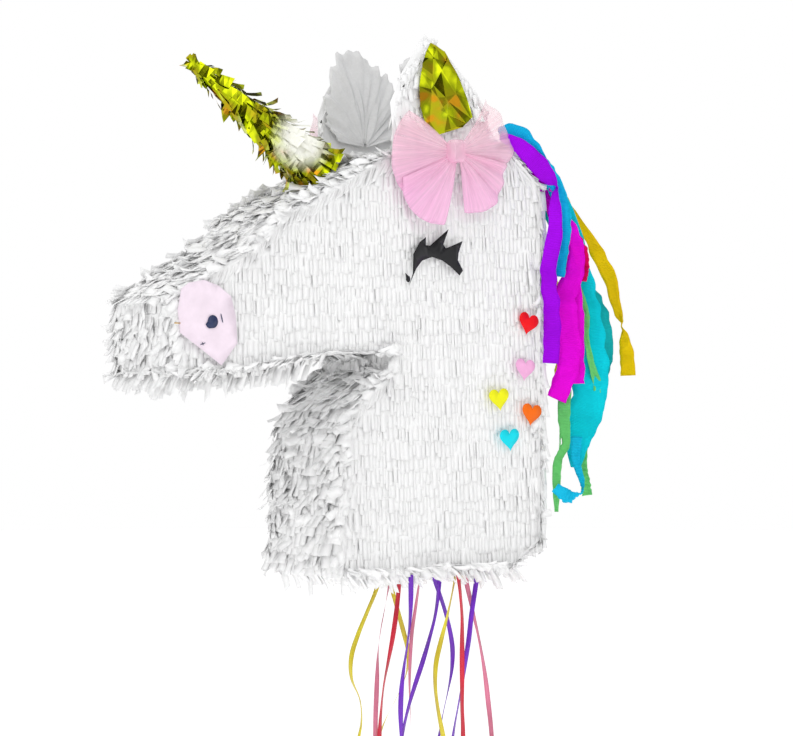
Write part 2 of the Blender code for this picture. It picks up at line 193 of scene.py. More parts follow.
def keep(name, bm, paint, slot, wall=0.0, body="head", smooth=True):
    """Make a bmesh a finished piece at the origin, riding on its body.

    wall is the real thickness of a piece that is modelled as a sheet."""
    mesh = bpy.data.meshes.new(name)
    bm.to_mesh(mesh)
    bm.free()
    made = bpy.data.objects.new(name, mesh)
    mesh.materials.append(paint.material)
    if smooth:
        mesh.shade_smooth()
    bpy.context.scene.collection.objects.link(made)
    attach(made, body)
    if wall:
        both_faces = made.modifiers.new("thickness", "SOLIDIFY")
        both_faces.thickness = wall
        both_faces.offset = 0.0
    return made


def bent_sheet(cells, steps, flat, place):
    """A flat grid whose every point is put at place(across, along), both 0 to 1.

    Its UV map is in metres on the flat sheet."""
    bm = bmesh.new()
    uv = bm.loops.layers.uv.new("UVMap")
    bmesh.ops.create_grid(bm, x_segments=cells, y_segments=steps, size=0.5)
    for face in bm.faces:
        for corner in face.loops:
            across, along = corner.vert.co.x + 0.5, 0.5 - corner.vert.co.y
            corner[uv].uv = (across * flat[0], along * flat[1])
    for vert in bm.verts:
        vert.co = place(vert.co.x + 0.5, 0.5 - vert.co.y)
    bmesh.ops.recalc_face_normals(bm, faces=bm.faces)
    return bm


def curve_point(spots, along):
    """The point at along, 0 to 1, on a smooth curve through the spots."""
    padded = [2 * spots[0] - spots[1], *spots, 2 * spots[-1] - spots[-2]]
    spans = len(spots) - 1
    span = min(int(along * spans), spans - 1)
    t = along * spans - span
    a, b, c, d = padded[span:span + 4]
    return 0.5 * (2 * b + (c - a) * t + (2 * a - 5 * b + 4 * c - d) * t ** 2
                  + (3 * b - a - 3 * c + d) * t ** 3)


RIBBON_WIDTH = 5.0 * MM
RIBBON_WALL = 0.15 * MM
RIBBON_DROP = 22.0 * MM
RIBBON_STEPS = 110
PATH_STEPS = 64
TRIGGER = "ribbon_trigger_red"
TRIGGER_CLEAR, DECOY_CLEAR = 3.6 * MM, 1.0 * MM
RIBBON_COLOURS = {
    "red": (0.62, 0.008, 0.035),
    "yellow": (0.88, 0.56, 0.02),
    "pink": (0.78, 0.17, 0.28),
    "purple": (0.15, 0.012, 0.50),
}

# Exit (x, y) and sway, how far each stands to the side every RIBBON_DROP down,
# in millimetres, then how the flat of the ribbon is turned and by how much.
RIBBONS = (
    (TRIGGER, (14, 0), 20, 50,
     (0, -2, -5, -9, -14, -19, -22, -24, -25, -25, -24, -23, -22, -21, -20, -19, -19)),
    ("ribbon_yellow_1", (22, 44), -20, 55,
     (0, -7, -18, -29, -37, -37, -27, -25, -30, -36, -36, -32, -28, -27, -28, -30, -30)),
    ("ribbon_yellow_2", (34, 50), 30, 60,
     (0, 4, 11, 18, 24, 22, 11, -3, -13, -16, -13, -8, -4, -3, -5, -8, -9)),
    ("ribbon_yellow_3", (43, -56), 10, 60,
     (0, -5, -11, -18, -24, -25, -22, -17, -12, -8, -6, -7, -9, -11, -11, -10, -9)),
    ("ribbon_pink_1", (43, 56), 40, 60,
     (0, -5, -10, -15, -18, -19, -20, -21, -21, -20, -18, -16, -15, -15, -16, -17, -17)),
    ("ribbon_pink_2", (71, 44), 65, 25,
     (0, -4, -8, -12, -14, -15, -15, -14, -14, -15, -17, -18, -18, -17, -15, -14, -14)),
    ("ribbon_pink_3", (61, -44), 15, 45,
     (0, 6, 12, 18, 23, 27, 30, 33, 35, 36, 36, 34, 32, 30, 29, 29, 30)),
    ("ribbon_red", (41, -62), 5, 50,
     (0, 3, 5, 5, 5, 5, 5, 6, 6, 5, 3, 1, 0, 0, 1, 3, 4)),
    ("ribbon_purple_1", (-15, -62), -10, 60,
     (0, 0, -1, -4, -8, -11, -12, -11, -9, -7, -5, -4, -5, -7, -8, -8, -7)),
    ("ribbon_purple_2", (32, -44), 0, 55,
     (0, -2, -6, -13, -21, -30, -38, -44, -48, -50, -51, -50, -48, -47, -47, -48, -49)),
    ("ribbon_purple_3", (74, -50), 25, 45,
     (0, -4, -8, -11, -15, -19, -24, -29, -33, -35, -35, -34, -34, -34, -35, -37, -38)),
    ("ribbon_purple_4", (85, 50), -25, 60,
     (0, 9, 18, 25, 29, 28, 23, 17, 12, 8, 6, 6, 8, 10, 11, 11, 10)),
)


def ribbon_paint(word):
    """Embossed plastic ribbon: satin, with fine lines along it."""
    colour = RIBBON_COLOURS[word]
    paint = Paint("ribbon_" + word, roughness=0.32, coat_weight=0.25, coat_roughness=0.2)
    across = paint.place((1.0, 1.0, 1.0), "UV")
    lines = paint.node("ShaderNodeTexWave", {"bands_direction": "X"}, {
        "Vector": across, "Scale": 320.0, "Distortion": 0.4, "Detail": 1.0})
    cloud = paint.noise(26.0, 2.0)
    paint.feed("Base Color", paint.mix(cloud, tint(colour, 0.55), tint(colour, 1.65)))
    paint.feed("Roughness", 0.24 + 0.2 * cloud)
    paint.bump(lines, 0.00012, 0.6)
    return paint


ribbon_paints = {word: ribbon_paint(word) for word in RIBBON_COLOURS}
base_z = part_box("base_fringe")[0].z

for name, (x, y), turn, sweep, sway in RIBBONS:
    top = base_z - (TRIGGER_CLEAR if name == TRIGGER else DECOY_CLEAR)
    route = [Vector(((x + side) * MM, y * MM, top - RIBBON_DROP * step))
             for step, side in enumerate(sway)]
    word = next(word for word in name.split("_") if word in RIBBON_COLOURS)

    def ribbon_point(across, along):
        """The flat faces the front left, and swings to and fro as the ribbon curls."""
        facing = VIEW_AZIMUTH + math.radians(
            turn + sweep * math.sin(along * 11.0 + x * 0.3 + y))
        flat = Vector((math.cos(facing), math.sin(facing), 0.0))
        return curve_point(route, along) + flat * ((across - 0.5) * RIBBON_WIDTH)

    length = sum((b - a).length for a, b in zip(route, route[1:]))
    bm = bent_sheet(2, RIBBON_STEPS, (RIBBON_WIDTH, length), ribbon_point)
    ribbon = keep("curl_" + name, bm, ribbon_paints[word], "ribbon_" + word, RIBBON_WALL,
                  body="trigger_ribbon" if name == TRIGGER else "head")
    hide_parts(name)
    [curve_point(route, step / PATH_STEPS) for step in range(PATH_STEPS + 1)]


# ---------------------------------------------------------------- cardboard box
# Single-wall corrugated card: two die-cut side panels, scored gussets between
# them, the base with its trap door, and the plate that stiffens the crown.
# It shows only from below, with the trap door open.

def cardboard_paint():
    """Brown kraft liner with long fibres and the ghost of the flutes beneath."""
    paint = Paint("cardboard", roughness=0.9)
    fibres = paint.noise(900.0, 4.0, 0.7, paint.place((1.0, 1.0, 0.15)))
    blotch = paint.noise(22.0, 3.0)
    flutes = paint.node("ShaderNodeTexWave", {"bands_direction": "X"}, {
        "Vector": paint.place(), "Scale": 22.0, "Distortion": 0.3})
    brown = paint.mix(fibres, (0.33, 0.21, 0.115), (0.52, 0.36, 0.21))
    paint.feed("Base Color", paint.mix(blotch * 0.5, brown, (0.44, 0.30, 0.18)))
    paint.bump(fibres * 0.4 + flutes * 0.6, 0.0002, 0.5)
    return paint


def repaint(node, paint):
    """Give a CAD node its real finish."""
    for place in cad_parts[node].material_slots:
        place.material = paint.material


card = cardboard_paint()
CARD_NODES = (
    "left_side_panel", "right_side_panel", "nose_gusset", "brow_gusset",
    "crown_gusset", "nape_gusset", "base_panel", "throat_gusset", "jaw_gusset",
    "hanging_plate", "trap_door",
)
for node in CARD_NODES:
    repaint(node, card)


# ---------------------------------------------------------------- white fringe
# White tissue in strips, each cut into strands along its lower edge and glued
# along its upper one, row over row, from the bottom up.  The strands lie flat
# down the sides, and stand out ruffled round the edges.

def tissue_paint(name, low, high):
    """Soft white tissue, creased, and painted a little greyer in the dips of its creases as
    shade, between low and high.
    """
    paint = Paint(name, roughness=0.8, specular_ior_level=0.2)
    crease = paint.noise(240.0, 4.0, 0.6, distortion=1.2)
    cloud = paint.noise(34.0, 3.0)
    # Painted shade: the colour follows the crease bump, darker where it dips.
    shade = paint.mix(crease, (low, low, low), (high, high, high))
    paint.feed("Base Color", paint.mix(cloud * 0.35, shade, (0.97, 0.97, 0.975)))
    paint.bump(crease, 0.0007, 0.5)
    return paint


tissue = tissue_paint("white_tissue", 0.90, 0.99)

TISSUE_WALL = 0.12 * MM
STRAND_STEPS = 5
TAB_STEPS = 3
STRAND_WIDTHS = (0.55, 1.45)
GLUED_PART = 0.21
OVERLAP = 1.12
# One strand in seven is loose: it leans and twists more than its neighbours.
LOOSE_SHARE, LOOSE_LEAN, LOOSE_TWIST = 0.14, 2.2, 2.8
LEAST_LEAN = 1.5
RUFFLED_END = 0.010
PATCHY_LEAN = 1.2
# How far strands hang past the card's edge below them, in millimetres; none do
# near the mouth's corner.
OVERHANG = (5.0, 12.0)
MOUTH_CORNER = Vector((-0.115, 0.0, -0.210))
# Rows that reach the nape, past this x, run on over its edge.
NAPE_FROM, NAPE_WRAP = 0.12, 11 * MM
PRESS_MARGIN = 9 * MM


class Look:
    """How the strands of a row lie: their size, and the mean and spread of each bend.

    edge_ruffle is how much wilder they are at a row's ends, and splay how far they
    fan out there."""

    def __init__(self, width, length, lean, curl, twist, drift, *, pitch, edge_ruffle,
                 splay, hang=0.0):
        self.width = width * MM
        self.length = length
        self.lean = lean
        self.curl = curl
        self.twist = twist
        self.drift = drift
        self.hang = hang
        self.pitch = pitch * MM
        self.edge_ruffle = edge_ruffle
        self.splay = splay


def bent_line(root, fall, out, length, lean, curl, drift, steps):
    """The middle line of one strand: it leans out from fall and curls as it goes."""
    line = [root]
    for index in range(steps):
        t = (index + 0.5) / steps
        angle = lean + curl * t * t
        way = fall * math.cos(angle) + out * math.sin(angle) + drift * t
        line.append(line[-1] + way.normalized() * (length / steps))
    return line


def add_row(bm, first, last, fall, out, look, rng, reach=1.0, limit=None):
    """One glued strip from first to last, cut into strands that run along fall.

    limit, where given, says how long a strand may be from its root."""
    along = last - first
    count = max(1, round(along.length / look.width))
    along.normalize()
    marks = np.append(0.0, np.cumsum(rng.uniform(*STRAND_WIDTHS, count)))
    marks *= (last - first).length / marks[-1]
    grid = bmesh.ops.create_grid(bm, x_segments=count, y_segments=STRAND_STEPS, size=0.5)
    # Dicts, and not sets, keep one order, so that every run gives the same strands.
    edges = dict.fromkeys(edge for vert in grid["verts"] for edge in vert.link_edges)
    faces = dict.fromkeys(face for vert in grid["verts"] for face in vert.link_faces)
    cuts = [edge for edge in edges
            if not edge.is_boundary
            and abs(edge.verts[0].co.x - edge.verts[1].co.x) < 1e-4
            and min(edge.verts[0].co.y, edge.verts[1].co.y) < 0.4 - GLUED_PART]
    bmesh.ops.split_edges(bm, edges=cuts)

    middles = (marks[:-1] + marks[1:]) / 2
    from_end = np.minimum(middles, marks[-1] - middles)
    side = np.where(np.arange(count) < count / 2, -1.0, 1.0)
    near_end = np.exp(-from_end / RUFFLED_END)
    wild = 1.0 + look.edge_ruffle * near_end
    lengths = rng.uniform(*look.length, count) * MM * reach
    leans = rng.normal(0.0, 1.0, count) * look.lean[1] * wild
    leans += look.lean[0] * (0.6 + 0.4 * wild)
    curls = rng.normal(0.0, 1.0, count) * look.curl[1] * wild + look.curl[0]
    twists = rng.normal(0.0, 1.0, count) * look.twist * wild
    loose = rng.uniform(0.0, 1.0, count) < LOOSE_SHARE
    leans *= np.where(loose, LOOSE_LEAN, 1.0)
    twists *= np.where(loose, LOOSE_TWIST, 1.0)
    drifts = rng.normal(0.0, 1.0, count) * look.drift * wild + side * look.splay * near_end
    centres = []
    for column in range(count):
        root = first + along * middles[column] + out * (0.3 * MM)
        patch = look.lean[0] * PATCHY_LEAN * noise.noise(root * 28.0)
        drift = along * drifts[column] + Vector((0.0, 0.0, -look.hang))
        if limit:
            lengths[column] = max(2 * MM, min(lengths[column], limit(root)))
        centres.append(bent_line(
            root, fall, out, lengths[column],
            math.radians(max(leans[column] + patch, LEAST_LEAN)),
            math.radians(curls[column]), drift, STRAND_STEPS))

    places = {}
    for face in faces:
        column = min(count - 1, int((face.calc_center_median().x + 0.5) * count))
        for vert in face.verts:
            t = 0.5 - vert.co.y
            index = round(t * STRAND_STEPS)
            across = (vert.co.x + 0.5) * count - column - 0.5
            if index <= 1:
                edge = first + along * marks[round((vert.co.x + 0.5) * count)]
                places[vert] = edge + out * ((0.2 + 0.5 * index) * MM) + fall * (
                    index * lengths[column] / STRAND_STEPS)
            else:
                angle = math.radians(twists[column]) * min(1.0, 1.6 * t)
                flat = along * math.cos(angle) + out * math.sin(angle)
                width = (marks[column + 1] - marks[column]) * OVERLAP
                places[vert] = centres[column][index] + flat * (across * width)
    for vert, place in places.items():
        vert.co = place


def add_tab(bm, root, fall, out, width, length, lean, curl, twist):
    """One tab, glued at its root; the angles are in degrees."""
    across = out.cross(fall).normalized()
    line = bent_line(root, fall, out, length, math.radians(lean), math.radians(curl),
                     Vector((0.0, 0.0, 0.0)), TAB_STEPS)
    grid = bmesh.ops.create_grid(bm, x_segments=1, y_segments=TAB_STEPS, size=0.5)
    for vert in grid["verts"]:
        t = 0.5 - vert.co.y
        angle = math.radians(twist) * t
        flat = across * math.cos(angle) + out * math.sin(angle)
        vert.co = line[round(t * TAB_STEPS)] + flat * (vert.co.x * width)


def edges_of(outline):
    """The edges of an outline, each as its two ends."""
    return zip(outline, outline[1:] + outline[:1])


def outline_of(node):
    """The flat outline of a plate that lies in an XZ plane, as ordered (x, z) corners."""
    bm = bmesh.new()
    bm.from_mesh(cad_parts[node].data)
    bmesh.ops.remove_doubles(bm, verts=bm.verts, dist=1e-5)
    bmesh.ops.dissolve_limit(
        bm, angle_limit=math.radians(0.5), verts=bm.verts, edges=bm.edges)
    face = max(bm.faces, key=lambda found: found.calc_area())
    corners = [Vector((vert.co.x, vert.co.z)) for vert in face.verts]
    bm.free()
    area = sum(a.x * b.y - b.x * a.y for a, b in edges_of(corners))
    return corners if area > 0 else corners[::-1]


def face_depths(node):
    """How far a plate's inner and outer faces stand from the middle of the head."""
    low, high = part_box(node)
    return sorted((abs(low.y), abs(high.y)))


def crossings(outline, z):
    """The x ranges of a level line inside an outline."""
    found = []
    for a, b in edges_of(outline):
        if (a.y > z) != (b.y > z):
            found.append(a.x + (b.x - a.x) * (z - a.y) / (b.y - a.y))
    found.sort()
    return list(zip(found[::2], found[1::2]))


def add_backing(bm, corners, y_face, side):
    """The first, uncut layer of tissue, glued flat on the card."""
    face = bm.faces.new([bm.verts.new((spot.x, y_face, spot.y)) for spot in corners])
    face.normal_update()
    if face.normal.y * side < 0:
        face.normal_flip()


def room_below(outline, root):
    """How far the outline's next lower edge is, straight below a point inside it."""
    below = []
    x = min(root.x, max(spot.x for spot in outline) - 1 * MM)
    for a, b in edges_of(outline):
        if a.x <= x < b.x:
            z = a.y + (b.y - a.y) * (x - a.x) / (b.x - a.x)
            if z < root.z + 2 * MM:
                below.append(max(0.0, root.z - z))
    return min(below, default=0.0)


def press_down(bm, y_face, pressed):
    """Hold the strands behind some pieces within a height of the face, on both sides."""
    for most, nodes in pressed:
        boxes = [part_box(node) for node in nodes]
        for vert in bm.verts:
            over = abs(vert.co.y) - y_face - most
            if over > 0.0 and any(low.x - PRESS_MARGIN < vert.co.x < high.x + PRESS_MARGIN
                                  and low.z - PRESS_MARGIN < vert.co.z < high.z + PRESS_MARGIN
                                  for low, high in boxes):
                vert.co.y -= math.copysign(over, vert.co.y)


def cover_side(bm, outline, y_face, side, look, rng, wrap=0.0):
    """Backing and rows down one flat side, with a row along each edge that faces up.

    wrap is how far the rows run on past the nape's edge."""
    out = Vector((0.0, side, 0.0))
    down = Vector((0.0, 0.0, -1.0))

    def limit(root):
        room = room_below(outline, root)
        if root.x > MOUTH_CORNER.x and abs(root.z - room - MOUTH_CORNER.z) < 12 * MM:
            return room
        return room + rng.uniform(*OVERHANG) * MM

    add_backing(bm, outline, y_face, side)
    heights = [spot.y for spot in outline]
    z = min(heights) + 7 * MM
    while z < max(heights):
        for low, high in crossings(outline, z):
            tilt = rng.uniform(-1.8, 1.8, 2) * MM
            if high - low > 8 * MM:
                high += wrap if high > NAPE_FROM else 0.0
                add_row(bm, Vector((low, y_face, z + tilt[0])),
                        Vector((high, y_face, z + tilt[1])), down, out, look, rng,
                        limit=limit)
        z += look.pitch
    for a, b in edges_of(outline):
        run = (b - a).normalized()
        if run.x < -0.2:
            slope = Vector((run.x, 0.0, run.y)) * (1.0 if run.y < 0 else -1.0)
            fall = (down + slope * 0.75).normalized()
            add_row(bm, Vector((a.x, y_face, a.y)), Vector((b.x, y_face, b.y)),
                    fall, out, look, rng, limit=limit)


head_outline = outline_of("left_side_panel")
# What lies on the fringe, and how high above the card it lets the strands stand.
TRIMS = (
    (4.5 * MM, ("left_eye", "left_nostril_patch", "left_ear_foil", "heart_red",
                "heart_pink", "heart_yellow", "heart_orange", "heart_turquoise")),
    (5.0 * MM, ("left_bow",)),
    (9.0 * MM, ("mane_purple", "mane_turquoise")),
)
SIDE_LOOK = Look(4.6, (19.0, 27.0), (1.8, 0.6), (0.5, 1.5), 2.5, 0.02, pitch=13.5,
                 edge_ruffle=5.0, splay=0.12)

SIDE_FACE = face_depths("left_side_fringe")[0]

for word, side, seed in (("left", -1, 11), ("right", 1, 12)):
    bm = bmesh.new()
    cover_side(bm, head_outline, SIDE_FACE * side, side, SIDE_LOOK,
               np.random.default_rng(seed), NAPE_WRAP)
    press_down(bm, SIDE_FACE, TRIMS)
    skin = keep(word + "_side_strands", bm, tissue, "white_tissue", TISSUE_WALL)
    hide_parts(word + "_side_fringe")


# ---------------------------------------------------------------- edge fringe
# The same strips across the gussets, where they are ruffled: the rows on the
# nose, brow, nape and throat fall down the card, and those under the jaw and
# the base hang.

EDGE_LOOKS = {
    "nose_fringe": Look(11.0, (12.0, 17.0), (3.0, 2.0), (0.0, 4.0), 4.0, 0.12,
                        hang=0.2, pitch=9.5, edge_ruffle=0.5, splay=0.4),
    "brow_fringe": Look(11.0, (13.0, 18.0), (1.5, 1.5), (0.0, 3.0), 3.0, 0.10,
                        pitch=10.0, edge_ruffle=0.6, splay=0.4),
    "crown_fringe": Look(8.5, (15.0, 22.0), (3.0, 2.0), (1.0, 5.0), 5.0, 0.13,
                         pitch=10.0, edge_ruffle=0.6, splay=0.8),
    "nape_fringe": Look(8.5, (16.0, 24.0), (3.0, 2.0), (1.0, 5.0), 5.0, 0.12,
                        pitch=11.0, edge_ruffle=0.7, splay=0.6),
    "throat_fringe": Look(11.0, (14.0, 20.0), (8.0, 3.0), (3.0, 5.0), 4.0, 0.12,
                          hang=0.2, pitch=9.5, edge_ruffle=0.5, splay=0.4),
    "jaw_fringe": Look(9.0, (18.0, 31.0), (22.0, 8.0), (4.0, 10.0), 12.0, 0.25,
                       hang=1.5, pitch=10.0, edge_ruffle=0.3, splay=0.4),
    "base_fringe": Look(8.5, (18.0, 31.0), (20.0, 7.0), (6.0, 12.0), 12.0, 0.25,
                        hang=1.1, pitch=10.0, edge_ruffle=0.3, splay=0.4),
}
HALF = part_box("nose_fringe")[1].y
ROW_FOOT = 0.6 * MM
TUCKED_REACH = 0.5
# Crumpled ends of tissue stick out all over: one for each such area, and every
# third within CORNER millimetres of the corner between gusset and side.
CRUMPLE_AREA = (10 * MM) ** 2
CORNER = 3.0
CALM_AROUND_MOUTH = 60 * MM
DOOR_LOW, DOOR_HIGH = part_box("trap_door")
edge_meshes = {node: bmesh.new() for node in EDGE_LOOKS}
rng = np.random.default_rng(21)


def edge_node(middle):
    """The fringe node that covers an edge of the head, from a point just outside it."""
    for node in EDGE_LOOKS:
        low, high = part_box(node)
        if low.x <= middle.x <= high.x and low.z <= middle.y <= high.z:
            return node
    raise ValueError(f"no fringe covers {middle}")


def across_spans(node, x, margin=1.5 * MM):
    """The y ranges that a row across the head covers at x, clear of the doorway."""
    reach = HALF - margin
    clear = 2.0 * MM
    if node == "base_fringe" and DOOR_LOW.x - clear < x < DOOR_HIGH.x + 4 * clear:
        return ((-reach, DOOR_LOW.y - clear), (DOOR_HIGH.y + clear, reach))
    return ((-reach, reach),)


for a, b in edges_of(head_outline):
    run = b - a
    outward = Vector((run.y, -run.x)).normalized()
    node = edge_node((a + b) / 2 + outward * 3.5 * MM)
    look = EDGE_LOOKS[node]
    bm = edge_meshes[node]
    out = Vector((outward.x, 0.0, outward.y))
    high, low = (a, b) if a.y >= b.y else (b, a)
    fall = Vector((low.x - high.x, 0.0, low.y - high.y)).normalized()
    corners = [Vector((spot.x, y, spot.y)) + out * 0.5 * MM
               for spot, y in ((a, -HALF), (b, -HALF), (b, HALF), (a, HALF))]
    if node != "base_fringe":
        bm.faces.new([bm.verts.new(corner) for corner in corners])
    count = max(1, round(run.length / look.pitch))
    for index in range(count):
        spot = high.lerp(low, (index + 0.1) / count)
        tucked = node == "jaw_fringe" and spot.x > MOUTH_CORNER.x
        for y_low, y_high in across_spans(node, spot.x):
            lift = rng.uniform(-2.0, 2.0, 2) * MM
            start = Vector((spot.x, y_low, spot.y)) + out * ROW_FOOT + fall * lift[0]
            end = Vector((spot.x, y_high, spot.y)) + out * ROW_FOOT + fall * lift[1]
            add_row(bm, start, end, fall, out, EDGE_LOOKS["nape_fringe"] if tucked else look,
                    rng, reach=TUCKED_REACH if tucked else 1.0)
    for index in range(round(run.length * 2 * HALF / CRUMPLE_AREA)):
        spot = high.lerp(low, rng.uniform(0.0, 1.0))
        y = rng.uniform(-1.0, 1.0) * HALF
        if index % 3 == 0:
            y = math.copysign(HALF - rng.uniform(0.0, CORNER) * MM, y)
        if not any(y_low <= y <= y_high for y_low, y_high in across_spans(node, spot.x, 0.0)):
            continue
        if node in ("jaw_fringe", "throat_fringe") and (
                spot - Vector((MOUTH_CORNER.x, MOUTH_CORNER.z))).length < CALM_AROUND_MOUTH and (
                spot.x > MOUTH_CORNER.x):
            continue
        corner = abs(y) > HALF - (CORNER + 0.1) * MM
        away = (out + Vector((0.0, math.copysign(0.6, y) if corner else 0.0, 0.0))).normalized()
        spin = math.radians(rng.normal(0.0, 25.0 if corner else 45.0))
        way = fall * math.cos(spin) + Vector((0.0, math.sin(spin), 0.0))
        way = (way - away * way.dot(away)).normalized()
        tall = rng.uniform(0.0, 1.0) < (0.3 if node == "throat_fringe" else 0.12) or (
            corner and node == "nose_fringe")
        calm = corner and node in ("nape_fringe", "crown_fringe")
        add_tab(bm, Vector((spot.x, y, spot.y)) + out * rng.uniform(1.0, 3.0) * MM, way, away,
                rng.uniform(7.0, 11.0) * MM, rng.uniform(11.0, 19.0) * MM,
                abs(rng.normal(30.0 if tall else 10.0, 8.0)) * (0.4 if calm else 1.0),
                rng.normal(0.0, 28.0), rng.normal(0.0, 25.0))

for node, bm in edge_meshes.items():
    press_down(bm, SIDE_FACE, TRIMS)
    ruffle = keep(node.replace("fringe", "strands"), bm, tissue, "white_tissue", TISSUE_WALL)
    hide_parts(node)

# The trap door has rows of its own, shorter towards the hinge, so that they
# swing with it and clear the base.
door_low, door_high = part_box("trap_door_fringe")
DOOR_ROWS = 8
bm = bmesh.new()
rng = np.random.default_rng(22)
for index in range(DOOR_ROWS):
    x = door_low.x + 2 * MM + (door_high.x - door_low.x - 6 * MM) * index / (DOOR_ROWS - 1)
    add_row(bm, Vector((x, door_low.y, door_high.z)), Vector((x, door_high.y, door_high.z)),
            Vector((1.0, 0.0, 0.0)), Vector((0.0, 0.0, -1.0)), EDGE_LOOKS["base_fringe"],
            rng, reach=0.85 - 0.5 * (index / (DOOR_ROWS - 1)) ** 3)
door_strands = keep("trap_door_strands", bm, tissue, "white_tissue", TISSUE_WALL,
                    body="trap_door_flap")
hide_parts("trap_door_fringe")


# ---------------------------------------------------------------- horn
# A rolled paper cone wrapped in rows of gold foil tabs, cut, glued and bent
# like the tissue, with a tuft at the point.

# The centre of a highlight painted on the horn's foil: a lamp's blown-out white reflection,
# painted into the colour.
HORN_PAINTED_HIGHLIGHT = (-0.113, -0.020, 0.003)


def foil_paint():
    """Greenish gold mylar: a mirror, finely crumpled, tinted amber in places, and with a painted
    highlight: near one spot on the horn it turns white and not metal, a lamp's blown-out
    reflection painted in.
    """
    paint = Paint("gold_foil")
    tone = paint.noise(60.0, 1.0)
    crinkle = paint.noise(130.0, 2.0, 0.5)
    # Painted highlight: near that centre the foil's colour goes white and its metal goes to
    # none, as a lamp's blown-out reflection.
    painted_highlight = paint.node("ShaderNodeVectorMath", {"operation": "DISTANCE"}, {
        0: paint.place(), 1: HORN_PAINTED_HIGHLIGHT}, output=1)
    painted_highlight = paint.node("ShaderNodeMapRange", None, {0: painted_highlight, 1: 0.034, 2: 0.016})
    paint.feed("Base Color", paint.mix(painted_highlight * (0.5 * crinkle + 0.75), paint.ramp(tone, (
        (0.33, (0.50, 0.24, 0.01)), (0.39, (0.36, 0.30, 0.01)),
        (0.54, (0.30, 0.35, 0.005)), (0.68, (0.66, 0.74, 0.01)))), (1.0, 1.0, 0.92)))
    paint.feed("Metallic", 1.0 - painted_highlight)
    paint.feed("Roughness", 0.06 + 0.12 * crinkle + 0.2 * painted_highlight)
    paint.bump(crinkle, 0.0003, 0.15)
    return paint


foil = foil_paint()
rolled_paper = Paint("horn_paper", roughness=0.7)
rolled_paper.feed("Base Color", rolled_paper.mix(
    rolled_paper.noise(300.0, 3.0), (0.75, 0.68, 0.40), (0.85, 0.80, 0.55)))
repaint("horn_cone", rolled_paper)

HORN_FOOT = Vector((-0.083, 0.0, -0.0264))
HORN_TIP = Vector((-0.221, 0.0, 0.0665))
HORN_RADII = (24.5 * MM, 4.0 * MM)
HORN_ROWS = 15
TAB_PITCH = 8.5 * MM
THIN_TABS = 0.2
TIP_TABS = 6
FOIL_WALL = 0.08 * MM
horn_axis = (HORN_TIP - HORN_FOOT).normalized()
horn_side = Vector((0.0, 1.0, 0.0))
horn_top = horn_axis.cross(horn_side)
horn_length = (HORN_TIP - HORN_FOOT).length

bm = bmesh.new()
rng = np.random.default_rng(31)
skin = bmesh.ops.create_cone(
    bm, cap_ends=False, segments=28, radius1=HORN_RADII[0], radius2=HORN_RADII[1],
    depth=horn_length)
turn = Matrix((horn_top, horn_side, horn_axis)).transposed().to_4x4()
turn.translation = HORN_FOOT + horn_axis * horn_length / 2
bmesh.ops.transform(bm, verts=skin["verts"], matrix=turn)
for row in range(HORN_ROWS):
    share = (row + 0.9) / HORN_ROWS
    radius = HORN_RADII[0] + (HORN_RADII[1] - HORN_RADII[0]) * share + 0.4 * MM
    tabs = max(5, round(2 * math.pi * radius / TAB_PITCH))
    start = rng.uniform(0.0, 6.28)
    for index in range(tabs):
        angle = start + 2 * math.pi * index / tabs
        out = horn_top * math.cos(angle) + horn_side * math.sin(angle)
        root = HORN_FOOT + horn_axis * (horn_length * share) + out * radius
        fall = (out * 0.12 - horn_axis).normalized()
        thin = rng.uniform(0.0, 1.0) < THIN_TABS
        add_tab(bm, root, fall, out, (4.0 if thin else rng.uniform(7.5, 12.0)) * MM,
                (19.0 if thin else rng.uniform(12.0, 18.0)) * MM,
                abs(rng.normal(15.0, 13.0)), rng.normal(6.0, 26.0), rng.normal(0.0, 30.0))
for index in range(TIP_TABS):
    angle = index * 1.05 + 0.4
    out = horn_top * math.cos(angle) + horn_side * math.sin(angle)
    root = HORN_TIP - horn_axis * 4 * MM + out * 3 * MM
    add_tab(bm, root, horn_axis, out, rng.uniform(6.0, 8.0) * MM,
            rng.uniform(12.0, 17.0) * MM, rng.uniform(12.0, 28.0), 10.0,
            rng.normal(0.0, 30.0))
horn_foil = keep("horn_foil_tabs", bm, foil, "gold_foil", FOIL_WALL, smooth=False)
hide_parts("horn_foil_fringe")


# ---------------------------------------------------------------- ears
# Each ear is a card covered in tissue fringe outside, with a lining of
# crumpled gold foil, and backed with one piece of tissue gathered at the foot.

EAR_LOOK = Look(6.5, (18.0, 27.0), (2.6, 1.6), (3.0, 5.0), 12.0, 0.07, pitch=13.0,
                edge_ruffle=3.0, splay=0.25)
EAR_PRESS = 4.5 * MM
# Above this z an ear's rim has a row of its own, and tabs that stand up past it.
EAR_RIM_FROM = -0.010
RIM_TAB_PITCH = 4.5 * MM
# The hood's growth past the card at its tip, and how far that tip leans.
HOOD_RISE, HOOD_LEAN = 11 * MM, 5 * MM
BACK_WALL = 0.15 * MM
BACK_FOOT = Vector((0.0095, 0.010))
# How far the crumpled back reaches from its foot, in millimetres, at angles from up.
BACK_REACHES = (
    (-84, 30), (-64, 50), (-55, 58), (-49, 71), (-45, 72), (-40, 63), (-34, 80), (-28, 90),
    (-16, 100), (-7, 97), (1, 90), (8, 83), (22, 78), (29, 71), (45, 62), (60, 55), (78, 40))


